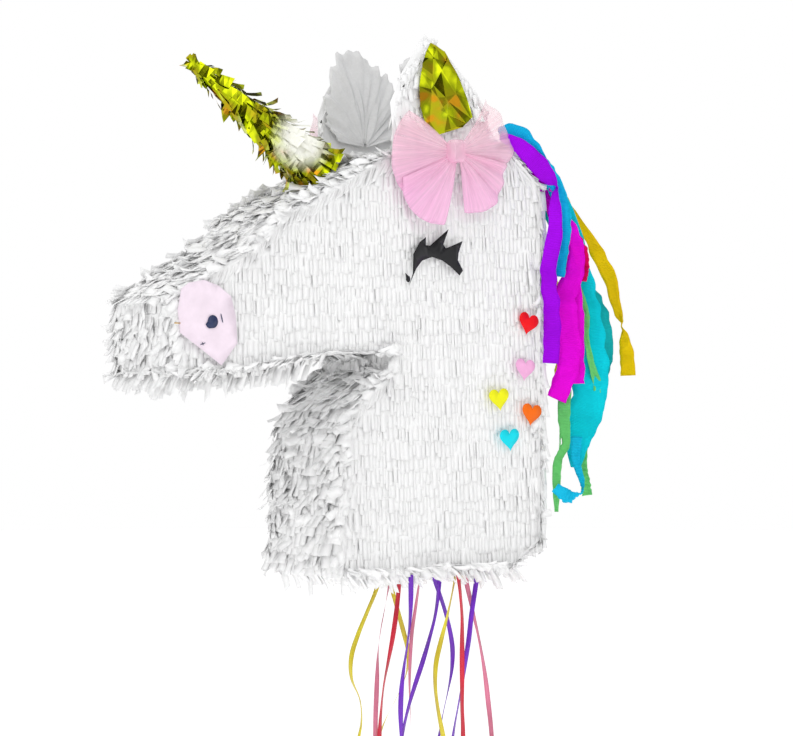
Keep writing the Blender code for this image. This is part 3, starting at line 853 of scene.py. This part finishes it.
def faceted_film(node, cuts, rng):
    """A plate's flat outline under fold lines at every angle, and its end corners."""
    corners = outline_of(node)
    bm = bmesh.new()
    bm.faces.new([bm.verts.new((spot.x, 0.0, spot.y)) for spot in corners])
    low = Vector((min(spot.x for spot in corners), min(spot.y for spot in corners)))
    high = Vector((max(spot.x for spot in corners), max(spot.y for spot in corners)))
    for _ in range(cuts):
        angle = rng.uniform(0.0, math.pi)
        spot = Vector((rng.uniform(low.x, high.x), 0.0, rng.uniform(low.y, high.y)))
        bmesh.ops.bisect_plane(
            bm, geom=bm.verts[:] + bm.edges[:] + bm.faces[:], plane_co=spot,
            plane_no=Vector((math.cos(angle), 0.0, math.sin(angle))))
    return bm, low, high


# A greyer copy of the white tissue for the ear backs and cards: painted shade, for the shade the
# ears sit in.
painted_shade_tissue = tissue_paint("painted_shade_tissue", 0.62, 0.80)
for word in ("left", "right"):
    repaint(word + "_ear_card", painted_shade_tissue)

for word, side, seed in (("left", -1, 41), ("right", 1, 42)):
    rng = np.random.default_rng(seed)
    outline = outline_of(word + "_ear_card")
    y_face = face_depths(word + "_ear_fringe")[0] * side
    out = Vector((0.0, side, 0.0))
    bm = bmesh.new()
    cover_side(bm, outline, y_face, side, EAR_LOOK, rng)
    for a, b in edges_of(outline):
        if min(a.y, b.y) > EAR_RIM_FROM:
            run = b - a
            outward = Vector((run.y, 0.0, -run.x)).normalized()
            upward = Vector((run.x, 0.0, run.y)).normalized() * (1.0 if run.y > 0 else -1.0)
            add_row(bm, Vector((a.x, y_face, a.y)), Vector((b.x, y_face, b.y)),
                    Vector((0.0, 0.0, -0.6)) - upward, out, EAR_LOOK, rng, reach=0.6)
            for index in range(round(run.length / RIM_TAB_PITCH)):
                spot = a.lerp(b, rng.uniform(0.0, 1.0))
                add_tab(bm, Vector((spot.x, y_face + side * 3 * MM, spot.y)) - outward * 4 * MM,
                        (upward + outward * rng.uniform(0.2, 0.9)).normalized(), out,
                        rng.uniform(5.0, 8.0) * MM, rng.uniform(9.0, 14.0) * MM,
                        rng.normal(0.0, 8.0), rng.normal(0.0, 20.0), rng.normal(0.0, 25.0))
    press_down(bm, abs(y_face), ((EAR_PRESS, [word + "_ear_foil"]),))
    strands = keep(word + "_ear_strands", bm, tissue, "white_tissue", TISSUE_WALL)
    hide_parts(word + "_ear_fringe")

    # A smooth sheet under the rows stands past the card's rim and ends in a point.
    bm, low, high = faceted_film(word + "_ear_card", 16, rng)
    for vert in bm.verts:
        up = (vert.co.z - low.y) / (high.y - low.y)
        vert.co.x += (vert.co.x - (low.x + high.x) / 2) * (0.02 + 0.1 * up)
        vert.co.x -= HOOD_LEAN * up ** 6
        vert.co.z += HOOD_RISE * up ** 3
        vert.co.y = y_face + side * (1.5 + 3.0 * noise.noise(vert.co * 45.0)) * MM
    bmesh.ops.recalc_face_normals(bm, faces=bm.faces)
    keep(word + "_ear_hood", bm, tissue, "white_tissue", TISSUE_WALL, smooth=False)

    bm, low, high = faceted_film(word + "_ear_foil", 13, rng)
    bmesh.ops.triangulate(bm, faces=bm.faces)
    y_foil = face_depths(word + "_ear_foil")[1] * side
    for vert in bm.verts:
        dent = noise.noise(vert.co * 60.0 + Vector((seed, 0.0, 0.0))) * 2.2
        vert.co.y = y_foil + side * (1.2 + dent + rng.uniform(-0.5, 0.7)) * MM
    bmesh.ops.recalc_face_normals(bm, faces=bm.faces)
    lining = keep(word + "_ear_lining", bm, foil, "gold_foil", FOIL_WALL, smooth=False)
    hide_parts(word + "_ear_foil")

    y_back = face_depths(word + "_ear_card")[0] * side

    def back_point(across, along):
        """Uneven pleats fan out from the foot to a ragged rim."""
        angle = BACK_REACHES[0][0] + (BACK_REACHES[-1][0] - BACK_REACHES[0][0]) * across
        reach = float(np.interp(angle, *zip(*BACK_REACHES)))
        reach *= 1.0 if side > 0 else 0.8
        reach += 10.0 * noise.noise(Vector((across * 32.0, seed, 0.0))) * along
        pleat = 7.0 * noise.noise(Vector((across * 15.0, along * 0.8, seed + 5.0)))
        pleat += 3.0 * noise.noise(Vector((across * 40.0, along * 2.0, seed)))
        angle = math.radians(angle + 3.0 * pleat * (1.0 - along))
        way = Vector((math.sin(angle), math.cos(angle))) * (reach * MM * (0.04 + 0.96 * along))
        depth = y_back - side * (5.2 + pleat * along ** 0.5) * MM
        return Vector((BACK_FOOT.x + way.x, depth, BACK_FOOT.y + way.y))

    # The back wears the greyer tissue, painted shade.
    bm = bent_sheet(96, 14, (0.16, 0.14), back_point)
    keep(word + "_ear_back", bm, painted_shade_tissue, "white_tissue", BACK_WALL)


# ---------------------------------------------------------------- bows
# Soft pink tulle in loops and tails, pleated into a knot at the foot of each
# ear.  The near and the far bow are tied alike.

def tulle_paint():
    """Fine nylon net in layers: sheer, with soft streaks along the pleats."""
    paint = Paint("pink_tulle", roughness=0.7)
    streak = paint.noise(1.0, 3.0, 0.6, paint.place((240.0, 14.0, 1.0), "UV"))
    cloud = paint.noise(24.0, 2.0)
    height = paint.node("ShaderNodeSeparateXYZ", None, {0: paint.place()}, output=2)
    low = paint.node("ShaderNodeMapRange", None, {0: height, 1: 0.035, 2: -0.05})
    layers = 0.25 + 0.44 * low + 0.7 * (streak - 0.5)
    paint.feed("Base Color", paint.mix(
        low, paint.mix(cloud, (1.0, 0.60, 0.70), (1.0, 0.72, 0.76)),
        paint.mix(cloud, (1.0, 0.52, 0.84), (1.0, 0.62, 0.82))))
    paint.feed("Alpha", layers)
    paint.bump(streak, 0.0002, 0.2)
    return paint


tulle = tulle_paint()
TULLE_WALL = 0.1 * MM
KNOT_PLACE = Vector((0.030, -0.0065))
# How much longer the flat strip is than the rim of the wing pleated from it.
FULLNESS = 1.35

# Each wing: the angles it fans through, its length at even steps of that fan,
# in millimetres, and how far it stands forward.
WINGS = (
    ("front_loop", (146.0, 218.0), (66, 70, 73, 75, 77, 77, 74), 3.0),
    ("front_tail", (204.0, 259.0), (70, 77, 80, 80, 77, 73), 5.0),
    ("back_loop", (56.0, -18.0), (66, 70, 67, 68, 70, 66, 60), 2.5),
    ("back_tail", (-8.0, -80.0), (62, 62, 64, 67, 67, 63, 60), 4.5),
)

for word, side, seed in (("left", -1, 51), ("right", 1, 52)):
    y_bow = face_depths(word + "_bow")[0] + 0.5 * MM
    for name, (first, last), reaches, lift in WINGS:

        def wing_point(across, along):
            """Soft folds run out from the knot, uneven in width and height."""
            angle = math.radians(first + (last - first) * across)
            spot = across * (len(reaches) - 1)
            index = min(int(spot), len(reaches) - 2)
            reach = reaches[index] + (reaches[index + 1] - reaches[index]) * (spot - index)
            fold = noise.noise(Vector((across * 5.0, along * 0.9, seed + first))) * 8.0
            fold += noise.noise(Vector((across * 13.0, along * 0.5, seed - first))) * 3.0 * (
                1.0 - 0.8 * along)
            if side > 0 and name == "front_loop":
                reach += 22.0 * max(0.0, 1.0 - across * 2.5)
            reach += 0.35 * fold
            open_out = along ** 0.7 * (1.0 - 0.25 * along)
            puff = math.sin(math.pi * min(1.0, along * 0.85 + 0.1)) * 4.0
            rim = 1.0 - max(0.0, (along - 0.9) / 0.1) ** 2
            depth = y_bow + (lift + fold * open_out + puff * rim - 1.5 * along) * MM
            depth = max(depth, y_bow - 2.0 * MM)
            return Vector((
                KNOT_PLACE.x + math.cos(angle) * reach * MM * (0.08 + 0.92 * along),
                side * depth,
                KNOT_PLACE.y + math.sin(angle) * reach * MM * (0.08 + 0.92 * along)))

        arc = abs(math.radians(last - first)) * max(reaches) * MM
        bm = bent_sheet(64, 18, (arc, max(reaches) * MM), wing_point)
        area = sum(face.calc_area() for face in bm.faces)
        wing = keep(f"{word}_bow_{name}", bm, tulle, "pink_tulle", TULLE_WALL)
        flat = (arc * FULLNESS, max(reaches) * MM)
        min(area * 1.1, flat[0] * flat[1])
    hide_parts(word + "_bow")

    low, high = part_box(word + "_bow_knot")
    middle = (low + high) / 2
    bm = bmesh.new()
    bmesh.ops.create_cube(bm, size=1.0)
    bmesh.ops.bevel(bm, geom=bm.edges[:], offset=0.28, offset_type="OFFSET", segments=3,
                    profile=0.5, affect="EDGES", material=-1)
    bmesh.ops.subdivide_edges(bm, edges=bm.edges[:], cuts=2, use_grid_fill=True)
    for vert in bm.verts:
        crease = 0.07 * math.sin(vert.co.x * 22.0 + 2.0 * vert.co.z)
        waist = 1.0 - 0.14 * math.cos(vert.co.z * 5.0)
        vert.co = middle + Vector((
            vert.co.x * 17 * MM * waist - 5 * MM,
            (vert.co.y + crease * (abs(vert.co.y) > 0.2)) * 15 * MM - side * 3 * MM,
            vert.co.z * 22 * MM))
    knot = keep(word + "_knot_band", bm, tulle, "pink_tulle")
    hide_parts(word + "_bow_knot")


# ---------------------------------------------------------------- stickers
# Self-adhesive shapes pressed on over the fringe: a closed eye in glossy black
# film and a nostril patch in pale card on both sides, and five hearts.

def film_paint(name, colour, roughness, coat):
    """Printed film: clear colour with slight mottling, and a soft shine."""
    paint = Paint(name, coat_weight=coat, coat_roughness=0.12, specular_ior_level=0.2)
    cloud = paint.noise(90.0, 3.0)
    paint.feed("Base Color", paint.mix(cloud, tint(colour, 0.86), tint(colour, 1.08)))
    paint.feed("Roughness", roughness - 0.05 + 0.1 * cloud)
    paint.bump(cloud, 0.0006, 0.5)
    return paint


FILM_WALL, FILM_GAP = 0.25 * MM, 0.4 * MM
INK_WALL = 0.1 * MM


def press_on(name, node, paint, slot, seed, cuts, wave, size=1.0):
    """A thin shape on the fringe, a little wavy, in place of its CAD plate.

    Its answer is the y of a face that clears it."""
    side = 1.0 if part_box(node)[0].y > 0 else -1.0
    y_film = face_depths(node)[1] + FILM_GAP
    bm, low, high = faceted_film(node, cuts, np.random.default_rng(seed))
    bmesh.ops.triangulate(bm, faces=bm.faces)
    middle = Vector((low.x + high.x, 0.0, low.y + high.y)) / 2
    for vert in bm.verts:
        vert.co = middle + (vert.co - middle) * size
        dent = noise.noise(vert.co * 40.0 + Vector((seed, 0.0, 0.0)))
        vert.co.y = side * (y_film + wave * dent * MM)
    bmesh.ops.recalc_face_normals(bm, faces=bm.faces)
    film = keep(name, bm, paint, slot, FILM_WALL)
    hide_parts(node)
    return side * (y_film + FILM_GAP)


black_film = film_paint("black_film", (0.012, 0.012, 0.014), 0.3, 0.12)
patch_card = film_paint("nostril_card", (0.93, 0.80, 0.90), 0.55, 0.1)
navy_ink = film_paint("navy_ink", (0.025, 0.04, 0.11), 0.4, 0.3)
FAR_PATCH_SIZE = 0.76
PRINT_X, PRINT_Z = -0.2395, -0.179
STAPLE_PLACE = (-0.2765, -0.0700, -0.1812)
STAPLE_RADIUS, STAPLE_LENGTH = 0.6 * MM, 6.0 * MM
HEART_COLOURS = {
    "red": (0.93, 0.004, 0.008),
    "pink": (0.97, 0.46, 0.76),
    "yellow": (0.95, 0.93, 0.01),
    "orange": (1.0, 0.16, 0.002),
    "turquoise": (0.005, 0.75, 0.88),
}

for word, side in (("left", -1), ("right", 1)):
    y_film = press_on(word + "_eye_film", word + "_eye", black_film, "black_film", 61, 18, 1.2)
    # The film's lower end came away and curled into a small barb.
    bm = bmesh.new()
    curl = bmesh.ops.create_circle(bm, cap_ends=True, segments=10, radius=2.6 * MM)
    for vert in curl["verts"]:
        spike = 2.2 if vert.co.x < -1 * MM and vert.co.y > 1 * MM else 1.0
        vert.co = Vector((vert.co.x * spike - 0.0228, y_film - side * 0.3 * MM,
                          vert.co.y * 1.25 * spike - 0.1325))
    keep(word + "_eye_barb", bm, black_film, "black_film", FILM_WALL)
    y_ink = press_on(word + "_nostril_card", word + "_nostril_patch", patch_card,
                     "nostril_card", 62, 20, 0.6, size=1.0 if side < 0 else FAR_PATCH_SIZE)
    # The printed nostril: a drop, a short arc behind it and a small tick below.
    bm = bmesh.new()
    drop = bmesh.ops.create_circle(bm, cap_ends=True, segments=20, radius=6.0 * MM)
    for vert in drop["verts"]:
        vert.co.x *= 0.9
        if vert.co.x < -1 * MM and vert.co.y < 0:
            vert.co.x -= 2.4 * MM
            vert.co.y -= 0.6 * MM
    arc = bmesh.ops.create_circle(bm, cap_ends=True, segments=8, radius=4.5 * MM)
    for vert in arc["verts"]:
        vert.co = Vector((9.4 * MM + vert.co.x * 0.14 - vert.co.y * 0.25,
                          3.4 * MM + vert.co.y, 0.0))
    for tilt, length in ((0.35, 5.0), (1.9, 2.4)):
        tick = bmesh.ops.create_circle(bm, cap_ends=True, segments=8, radius=1.0 * MM)
        spin = Matrix.Rotation(tilt, 3, "Z")
        for vert in tick["verts"]:
            flat = Vector((vert.co.x * length * 0.7, vert.co.y * 0.4, 0.0))
            vert.co = spin @ flat + Vector((-10.5 * MM, -20.5 * MM, 0.0))
    for vert in bm.verts:
        vert.co = Vector((PRINT_X + vert.co.x, y_ink + side * 0.5 * MM,
                          PRINT_Z + vert.co.y))
    bmesh.ops.recalc_face_normals(bm, faces=bm.faces)
    keep(word + "_nostril_print", bm, navy_ink, "black_film", INK_WALL)

# A brass staple holds the near patch's front edge.
staple_brass = Paint("staple_brass", metallic=1.0, roughness=0.35)
staple_brass.feed("Base Color", (0.62, 0.40, 0.14))
bm = bmesh.new()
wire = bmesh.ops.create_cone(bm, cap_ends=True, segments=8, radius1=STAPLE_RADIUS,
                             radius2=STAPLE_RADIUS, depth=STAPLE_LENGTH)
bmesh.ops.transform(bm, verts=wire["verts"], matrix=Matrix.Translation(
    STAPLE_PLACE) @ Matrix.Rotation(math.pi / 2, 4, "Y"))
keep("left_nostril_staple", bm, staple_brass, "gold_foil")

for index, (word, colour) in enumerate(HEART_COLOURS.items()):
    paint = film_paint("heart_" + word, colour, 0.5, 0.04)
    press_on("heart_film_" + word, "heart_" + word, paint, "heart_" + word, 70 + index, 8, 0.5)


# ---------------------------------------------------------------- mane
# Crepe paper streamers, finely crimped across, glued to the nape and let hang.

def crepe_paint(word, colour):
    """Crepe paper: tiny crimps across the streamer, its colour changing in soft patches and
    painted a little darker in the dips of the crimps, as shade.
    """
    paint = Paint("crepe_" + word, roughness=0.85, specular_ior_level=0.1)
    where = paint.place((1.0, 1.0, 1.0), "UV")
    crimp = paint.node("ShaderNodeTexWave", {"bands_direction": "Y"}, {
        "Vector": where, "Scale": 180.0, "Distortion": 3.0, "Detail": 2.0, "Detail Scale": 2.0})
    cloud = paint.noise(24.0, 2.0)
    # Painted shade: a fifth of the colour's change follows the crimp bump, darker in its dips.
    paint.feed("Base Color", paint.mix(
        cloud * 0.8 + crimp * 0.2, tint(colour, 0.70), tint(colour, 1.30)))
    paint.bump(crimp, 0.0004, 0.6)
    return paint


CREPE_COLOURS = {
    "turquoise": (0.006, 0.42, 0.74),
    "purple": (0.36, 0.002, 0.78),
    "sky": (0.008, 0.52, 0.86),
    "magenta": (1.0, 0.002, 0.72),
    "cyan": (0.003, 0.66, 0.80),
    "yellow": (0.92, 0.55, 0.003),
    "green": (0.16, 0.64, 0.18),
    "red": (0.80, 0.002, 0.12),
    "teal": (0.008, 0.44, 0.46),
}
CREPE_SLOTS = {"green": "cyan", "teal": "cyan", "red": "magenta"}
CREPE_WALL = 0.2 * MM
crepe_paints = {word: crepe_paint(word, colour) for word, colour in CREPE_COLOURS.items()}

# Each streamer: colour, the CAD node it stands for, and its points in
# millimetres: x, y, z, width there, and turn in degrees from facing the
# front left.
STREAMERS = (
    ("turquoise", "turquoise", "mane_turquoise", (
        (88, -68, 14, 14, 0), (103, -72, 18, 19, 0), (122, -74, 4, 19, 10),
        (141, -75, -14, 9, 40), (150, -76, -27, 9, 0), (157, -76, -42, 14, -10),
        (160, -75, -58, 15, 0), (162, -75, -80, 12, 10), (160, -74, -102, 12, 0),
        (157, -73, -124, 15, 20))),
    ("purple", "purple", "mane_purple", (
        (88, -70, 14, 8, 0), (106, -76, 5, 15, 0), (126, -77, -10, 19, 0),
        (143, -78, -26, 15, 20), (151, -78, -34, 6, 60), (150, -78, -50, 11, 10),
        (150, -78, -80, 16, -10), (143, -77, -112, 16, 0), (143, -77, -132, 16, 0),
        (146, -77, -156, 17, 10), (147, -77, -182, 17, 0), (145, -77, -212, 16, 0))),
    ("sky", "sky", "mane_sky", (
        (118, -56, 10, 16, 0), (140, -58, -4, 17, 0), (158, -60, -22, 17, -10),
        (170, -60, -44, 17, 0), (176, -59, -70, 16, 15), (172, -58, -96, 17, 0),
        (168, -58, -122, 16, 0))),
    ("magenta", "magenta", "mane_magenta", (
        (126, -50, 6, 16, 0), (150, -52, -26, 12, 10), (168, -56, -52, 10, 20),
        (186, -59, -74, 12, 0), (193, -60, -97, 16, -15), (186, -62, -122, 20, 0),
        (175, -62, -142, 24, 10), (176, -62, -165, 24, 0), (181, -62, -196, 24, 10),
        (176, -62, -223, 22, 0), (165, -61, -248, 21, -10))),
    ("magenta_twin", "magenta", None, (
        (140, -46, -14, 12, 0), (164, -50, -50, 10, 0), (184, -55, -98, 13, 10),
        (190, -57, -150, 20, 0), (190, -57, -188, 22, 0), (192, -56, -232, 22, -10))),
    ("rose", "red", None, (
        (142, -42, -8, 12, 0), (166, -46, -44, 10, 10), (187, -50, -72, 14, 30),
        (202, -50, -94, 18, 0), (207, -50, -112, 15, 20), (206, -50, -126, 11, 0))),
    ("cyan", "cyan", "mane_cyan", (
        (132, -36, 14, 24, 0), (168, -38, -20, 24, 0), (196, -42, -70, 22, 20),
        (214, -44, -126, 20, 10), (219, -44, -156, 26, 0), (224, -44, -190, 30, 10),
        (225, -44, -226, 34, 0), (217, -44, -256, 38, -10), (206, -44, -290, 27, 10),
        (202, -45, -318, 10, 0))),
    ("teal", "teal", None, (
        (140, -12, 10, 20, 0), (176, -14, -24, 20, 0), (210, -16, -76, 20, 0),
        (236, -16, -126, 16, 20), (250, -16, -150, 24, 0), (260, -16, -186, 26, -10),
        (256, -16, -216, 24, 10), (248, -17, -250, 16, 0))),
    ("yellow", "yellow", "mane_yellow", (
        (130, -22, 12, 15, 0), (168, -24, -8, 15, 20), (200, -26, -36, 10, 60),
        (216, -27, -56, 7, 20), (236, -27, -80, 11, 0), (250, -27, -100, 15, 0),
        (264, -27, -122, 14, 15), (270, -26, -142, 11, 0), (277, -26, -160, 8, 30),
        (280, -26, -170, 3, 60), (284, -26, -186, 12, 0), (288, -25, -204, 15, 0),
        (289, -25, -222, 16, 0))),
    ("green_top", "green", None, (
        (150, -30, 2, 11, 0), (178, -36, -46, 11, 0), (192, -42, -100, 10, 20),
        (197, -50, -126, 8, 0), (203, -50, -144, 13, 0), (209, -50, -164, 13, 20),
        (213, -49, -182, 6, 0), (222, -46, -210, 7, -10), (230, -46, -232, 9, 0),
        (231, -46, -254, 7, 10))),
    ("green_left", "green", None, (
        (186, -50, -180, 12, 0), (184, -52, -226, 13, 0), (177, -58, -252, 13, 0),
        (175, -61, -274, 12, 10), (175, -63, -294, 9, 30), (167, -63, -306, 8, 0),
        (164, -63, -316, 9, 0), (163, -63, -336, 8, 0), (163, -63, -362, 4, 10))),
    ("green_right", "green", None, (
        (222, -36, -226, 9, 0), (222, -38, -262, 10, 0), (216, -40, -302, 9, 10),
        (216, -40, -320, 9, 0), (219, -40, -334, 10, 0), (221, -40, -347, 11, 0))),
    ("curl", "sky", None, (
        (198, -52, -286, 12, 0), (195, -54, -308, 9, 0), (201, -56, -330, 6, 10),
        (201, -58, -339, 4, 60), (196, -61, -344, 5, 100), (186, -64, -346, 8, 150),
        (176, -67, -347, 13, 185), (166, -70, -343, 13, 180), (154, -72, -337, 10, 170))),
    ("far_purple", "purple", None, (
        (98, 70, 20, 16, 160), (134, 73, 2, 17, 170), (158, 74, -34, 16, 180),
        (164, 74, -90, 16, 190), (160, 74, -150, 17, 170), (166, 73, -216, 16, 180))),
    ("far_sky", "sky", None, (
        (112, 60, 18, 16, 150), (148, 62, -6, 17, 170), (172, 63, -50, 16, 190),
        (182, 63, -110, 17, 175), (178, 62, -176, 17, 180), (184, 60, -262, 16, 175))),
    ("far_magenta", "magenta", None, (
        (120, 44, 16, 20, 150), (160, 46, -14, 20, 165), (188, 48, -66, 20, 180),
        (196, 48, -130, 20, 175), (190, 47, -196, 21, 190), (196, 46, -250, 20, 180))),
    ("far_yellow", "yellow", None, (
        (126, 24, 14, 15, 120), (168, 26, -12, 15, 130), (208, 28, -60, 15, 140),
        (230, 28, -120, 15, 130), (240, 27, -180, 15, 140), (236, 27, -236, 15, 135))),
    ("far_green", "green", None, (
        (130, 4, 14, 13, 90), (176, 5, -14, 13, 95), (214, 6, -66, 13, 100),
        (232, 7, -130, 13, 90), (230, 8, -200, 13, 85), (222, 8, -300, 12, 95))),
)

for name, word, node, points in STREAMERS:
    spots = [np.array(point, dtype=float) for point in points]

    def streamer_point(across, along):
        """Across the streamer at a point along it, square to its run and turned."""
        here = curve_point(spots, along)
        run = curve_point(spots, min(1.0, along + 0.004)) - curve_point(
            spots, max(0.0, along - 0.004))
        run = Vector(run[:3]).normalized()
        flat = run.cross(to_camera).normalized()
        turn = math.radians(here[4])
        flat = flat * math.cos(turn) + run.cross(flat) * math.sin(turn)
        edge = math.copysign(1.0, across - 0.5) + len(name)
        wide = max(here[3], 2.5) * (1.0 + 0.22 * noise.noise(Vector((along * 22.0, edge, 3.0))))
        cup = (0.5 - abs(across - 0.5)) * 0.12 * here[3]
        cup += 3.0 * noise.noise(Vector((along * 26.0, across * 1.5, edge)))
        return (Vector(here[:3]) + flat * ((across - 0.5) * wide)
                + run.cross(flat) * cup) * MM

    length = sum(np.linalg.norm((b - a)[:3]) for a, b in zip(spots, spots[1:])) * MM
    width = max(point[3] for point in points) * MM
    bm = bent_sheet(4, 72, (width, length), streamer_point)
    area = sum(face.calc_area() for face in bm.faces)
    streamer = keep("streamer_" + name, bm, crepe_paints[word],
                    "crepe_" + CREPE_SLOTS.get(word, word), CREPE_WALL)
    min(area * 1.02, width * length)
    if node:
        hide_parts(node)


# ---------------------------------------------------------------- room
# A pale floor under the hanging head, a white room and three soft boxes: a large
# one on the near side, a weaker one towards the nose and one above.  Bright and
# dark patches of the room show only in what is glossy.

SKY_LOW, SKY_HIGH = 0.42, 0.86
FLOOR_RADIUS, FLOOR_GAP = 9.0, 0.03
world = bpy.data.worlds.new("white_room")
world.use_nodes = True
tree = world.node_tree
shown = tree.nodes["Background"]
shown.inputs["Color"].default_value = (1.0, 1.0, 1.0, 1.0)
felt = tree.nodes.new("ShaderNodeBackground")
height = tree.nodes.new("ShaderNodeSeparateXYZ")
sky = tree.nodes.new("ShaderNodeMapRange")
sky.inputs["To Min"].default_value = SKY_LOW
sky.inputs["To Max"].default_value = SKY_HIGH
mirrored = tree.nodes.new("ShaderNodeBackground")
spread = tree.nodes.new("ShaderNodeTexNoise")
spread.inputs["Scale"].default_value = 3.0
spread.inputs["Detail"].default_value = 1.0
tones = tree.nodes.new("ShaderNodeValToRGB")
tones.color_ramp.elements[0].position = 0.46
tones.color_ramp.elements[0].color = (0.06, 0.06, 0.06, 1.0)
tones.color_ramp.elements[1].position = 0.62
tones.color_ramp.elements[1].color = (1.5, 1.5, 1.5, 1.0)
ray = tree.nodes.new("ShaderNodeLightPath")
glossy = tree.nodes.new("ShaderNodeMixShader")
seen = tree.nodes.new("ShaderNodeMixShader")
coordinates = tree.nodes.new("ShaderNodeTexCoord")
for source, target in (
        (coordinates.outputs["Generated"], spread.inputs["Vector"]),
        (coordinates.outputs["Generated"], height.inputs[0]),
        (height.outputs["Z"], sky.inputs["Value"]),
        (sky.outputs["Result"], felt.inputs["Color"]),
        (spread.outputs["Fac"], tones.inputs["Fac"]),
        (tones.outputs["Color"], mirrored.inputs["Color"]),
        (ray.outputs["Is Glossy Ray"], glossy.inputs[0]),
        (felt.outputs[0], glossy.inputs[1]),
        (mirrored.outputs[0], glossy.inputs[2]),
        (ray.outputs["Is Camera Ray"], seen.inputs[0]),
        (glossy.outputs[0], seen.inputs[1]),
        (shown.outputs[0], seen.inputs[2]),
        (seen.outputs[0], tree.nodes["World Output"].inputs["Surface"])):
    tree.links.new(source, target)
bpy.context.scene.world = world
bpy.context.scene.view_settings.view_transform = "Standard"

bm = bmesh.new()
bmesh.ops.create_circle(bm, cap_ends=True, segments=96, radius=FLOOR_RADIUS,
                        matrix=Matrix.Translation((0.0, 0.0, cad_low.z - FLOOR_GAP)))
mesh = bpy.data.meshes.new("floor")
bm.to_mesh(mesh)
bm.free()
floor = bpy.data.objects.new("floor", mesh)
floor_paint = Paint("pale_floor", roughness=0.9)
floor_paint.feed("Base Color", (0.85, 0.85, 0.85))
floor_paint.feed("Emission Color", (1.0, 1.0, 1.0))
floor_paint.feed("Emission Strength", 0.5)
mesh.materials.append(floor_paint.material)
bpy.context.scene.collection.objects.link(floor)
floor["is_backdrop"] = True

for name, place, size, power in (
        ("key_soft_box", (-0.9, -1.9, 1.3), 1.8, 12.0),
        ("nose_soft_box", (-2.1, -0.3, 1.0), 1.2, 7.0),
        ("top_soft_box", (-0.5, -0.4, 2.0), 1.4, 7.0)):
    light = bpy.data.lights.new(name, "AREA")
    light.size = size
    light.energy = power
    made = bpy.data.objects.new(name, light)
    made.location = place
    made.rotation_mode = "QUATERNION"
    made.rotation_quaternion = (Vector(place) - VIEW_CENTRE).to_track_quat("Z", "Y")
    bpy.context.scene.collection.objects.link(made)


# ---------------------------------------------------------------- size and end
# The CAD box and the visual model's box, put side by side.

low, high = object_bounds()
({"cad": [list(cad_low), list(cad_high)],
           "visual": [list(low), list(high)]})
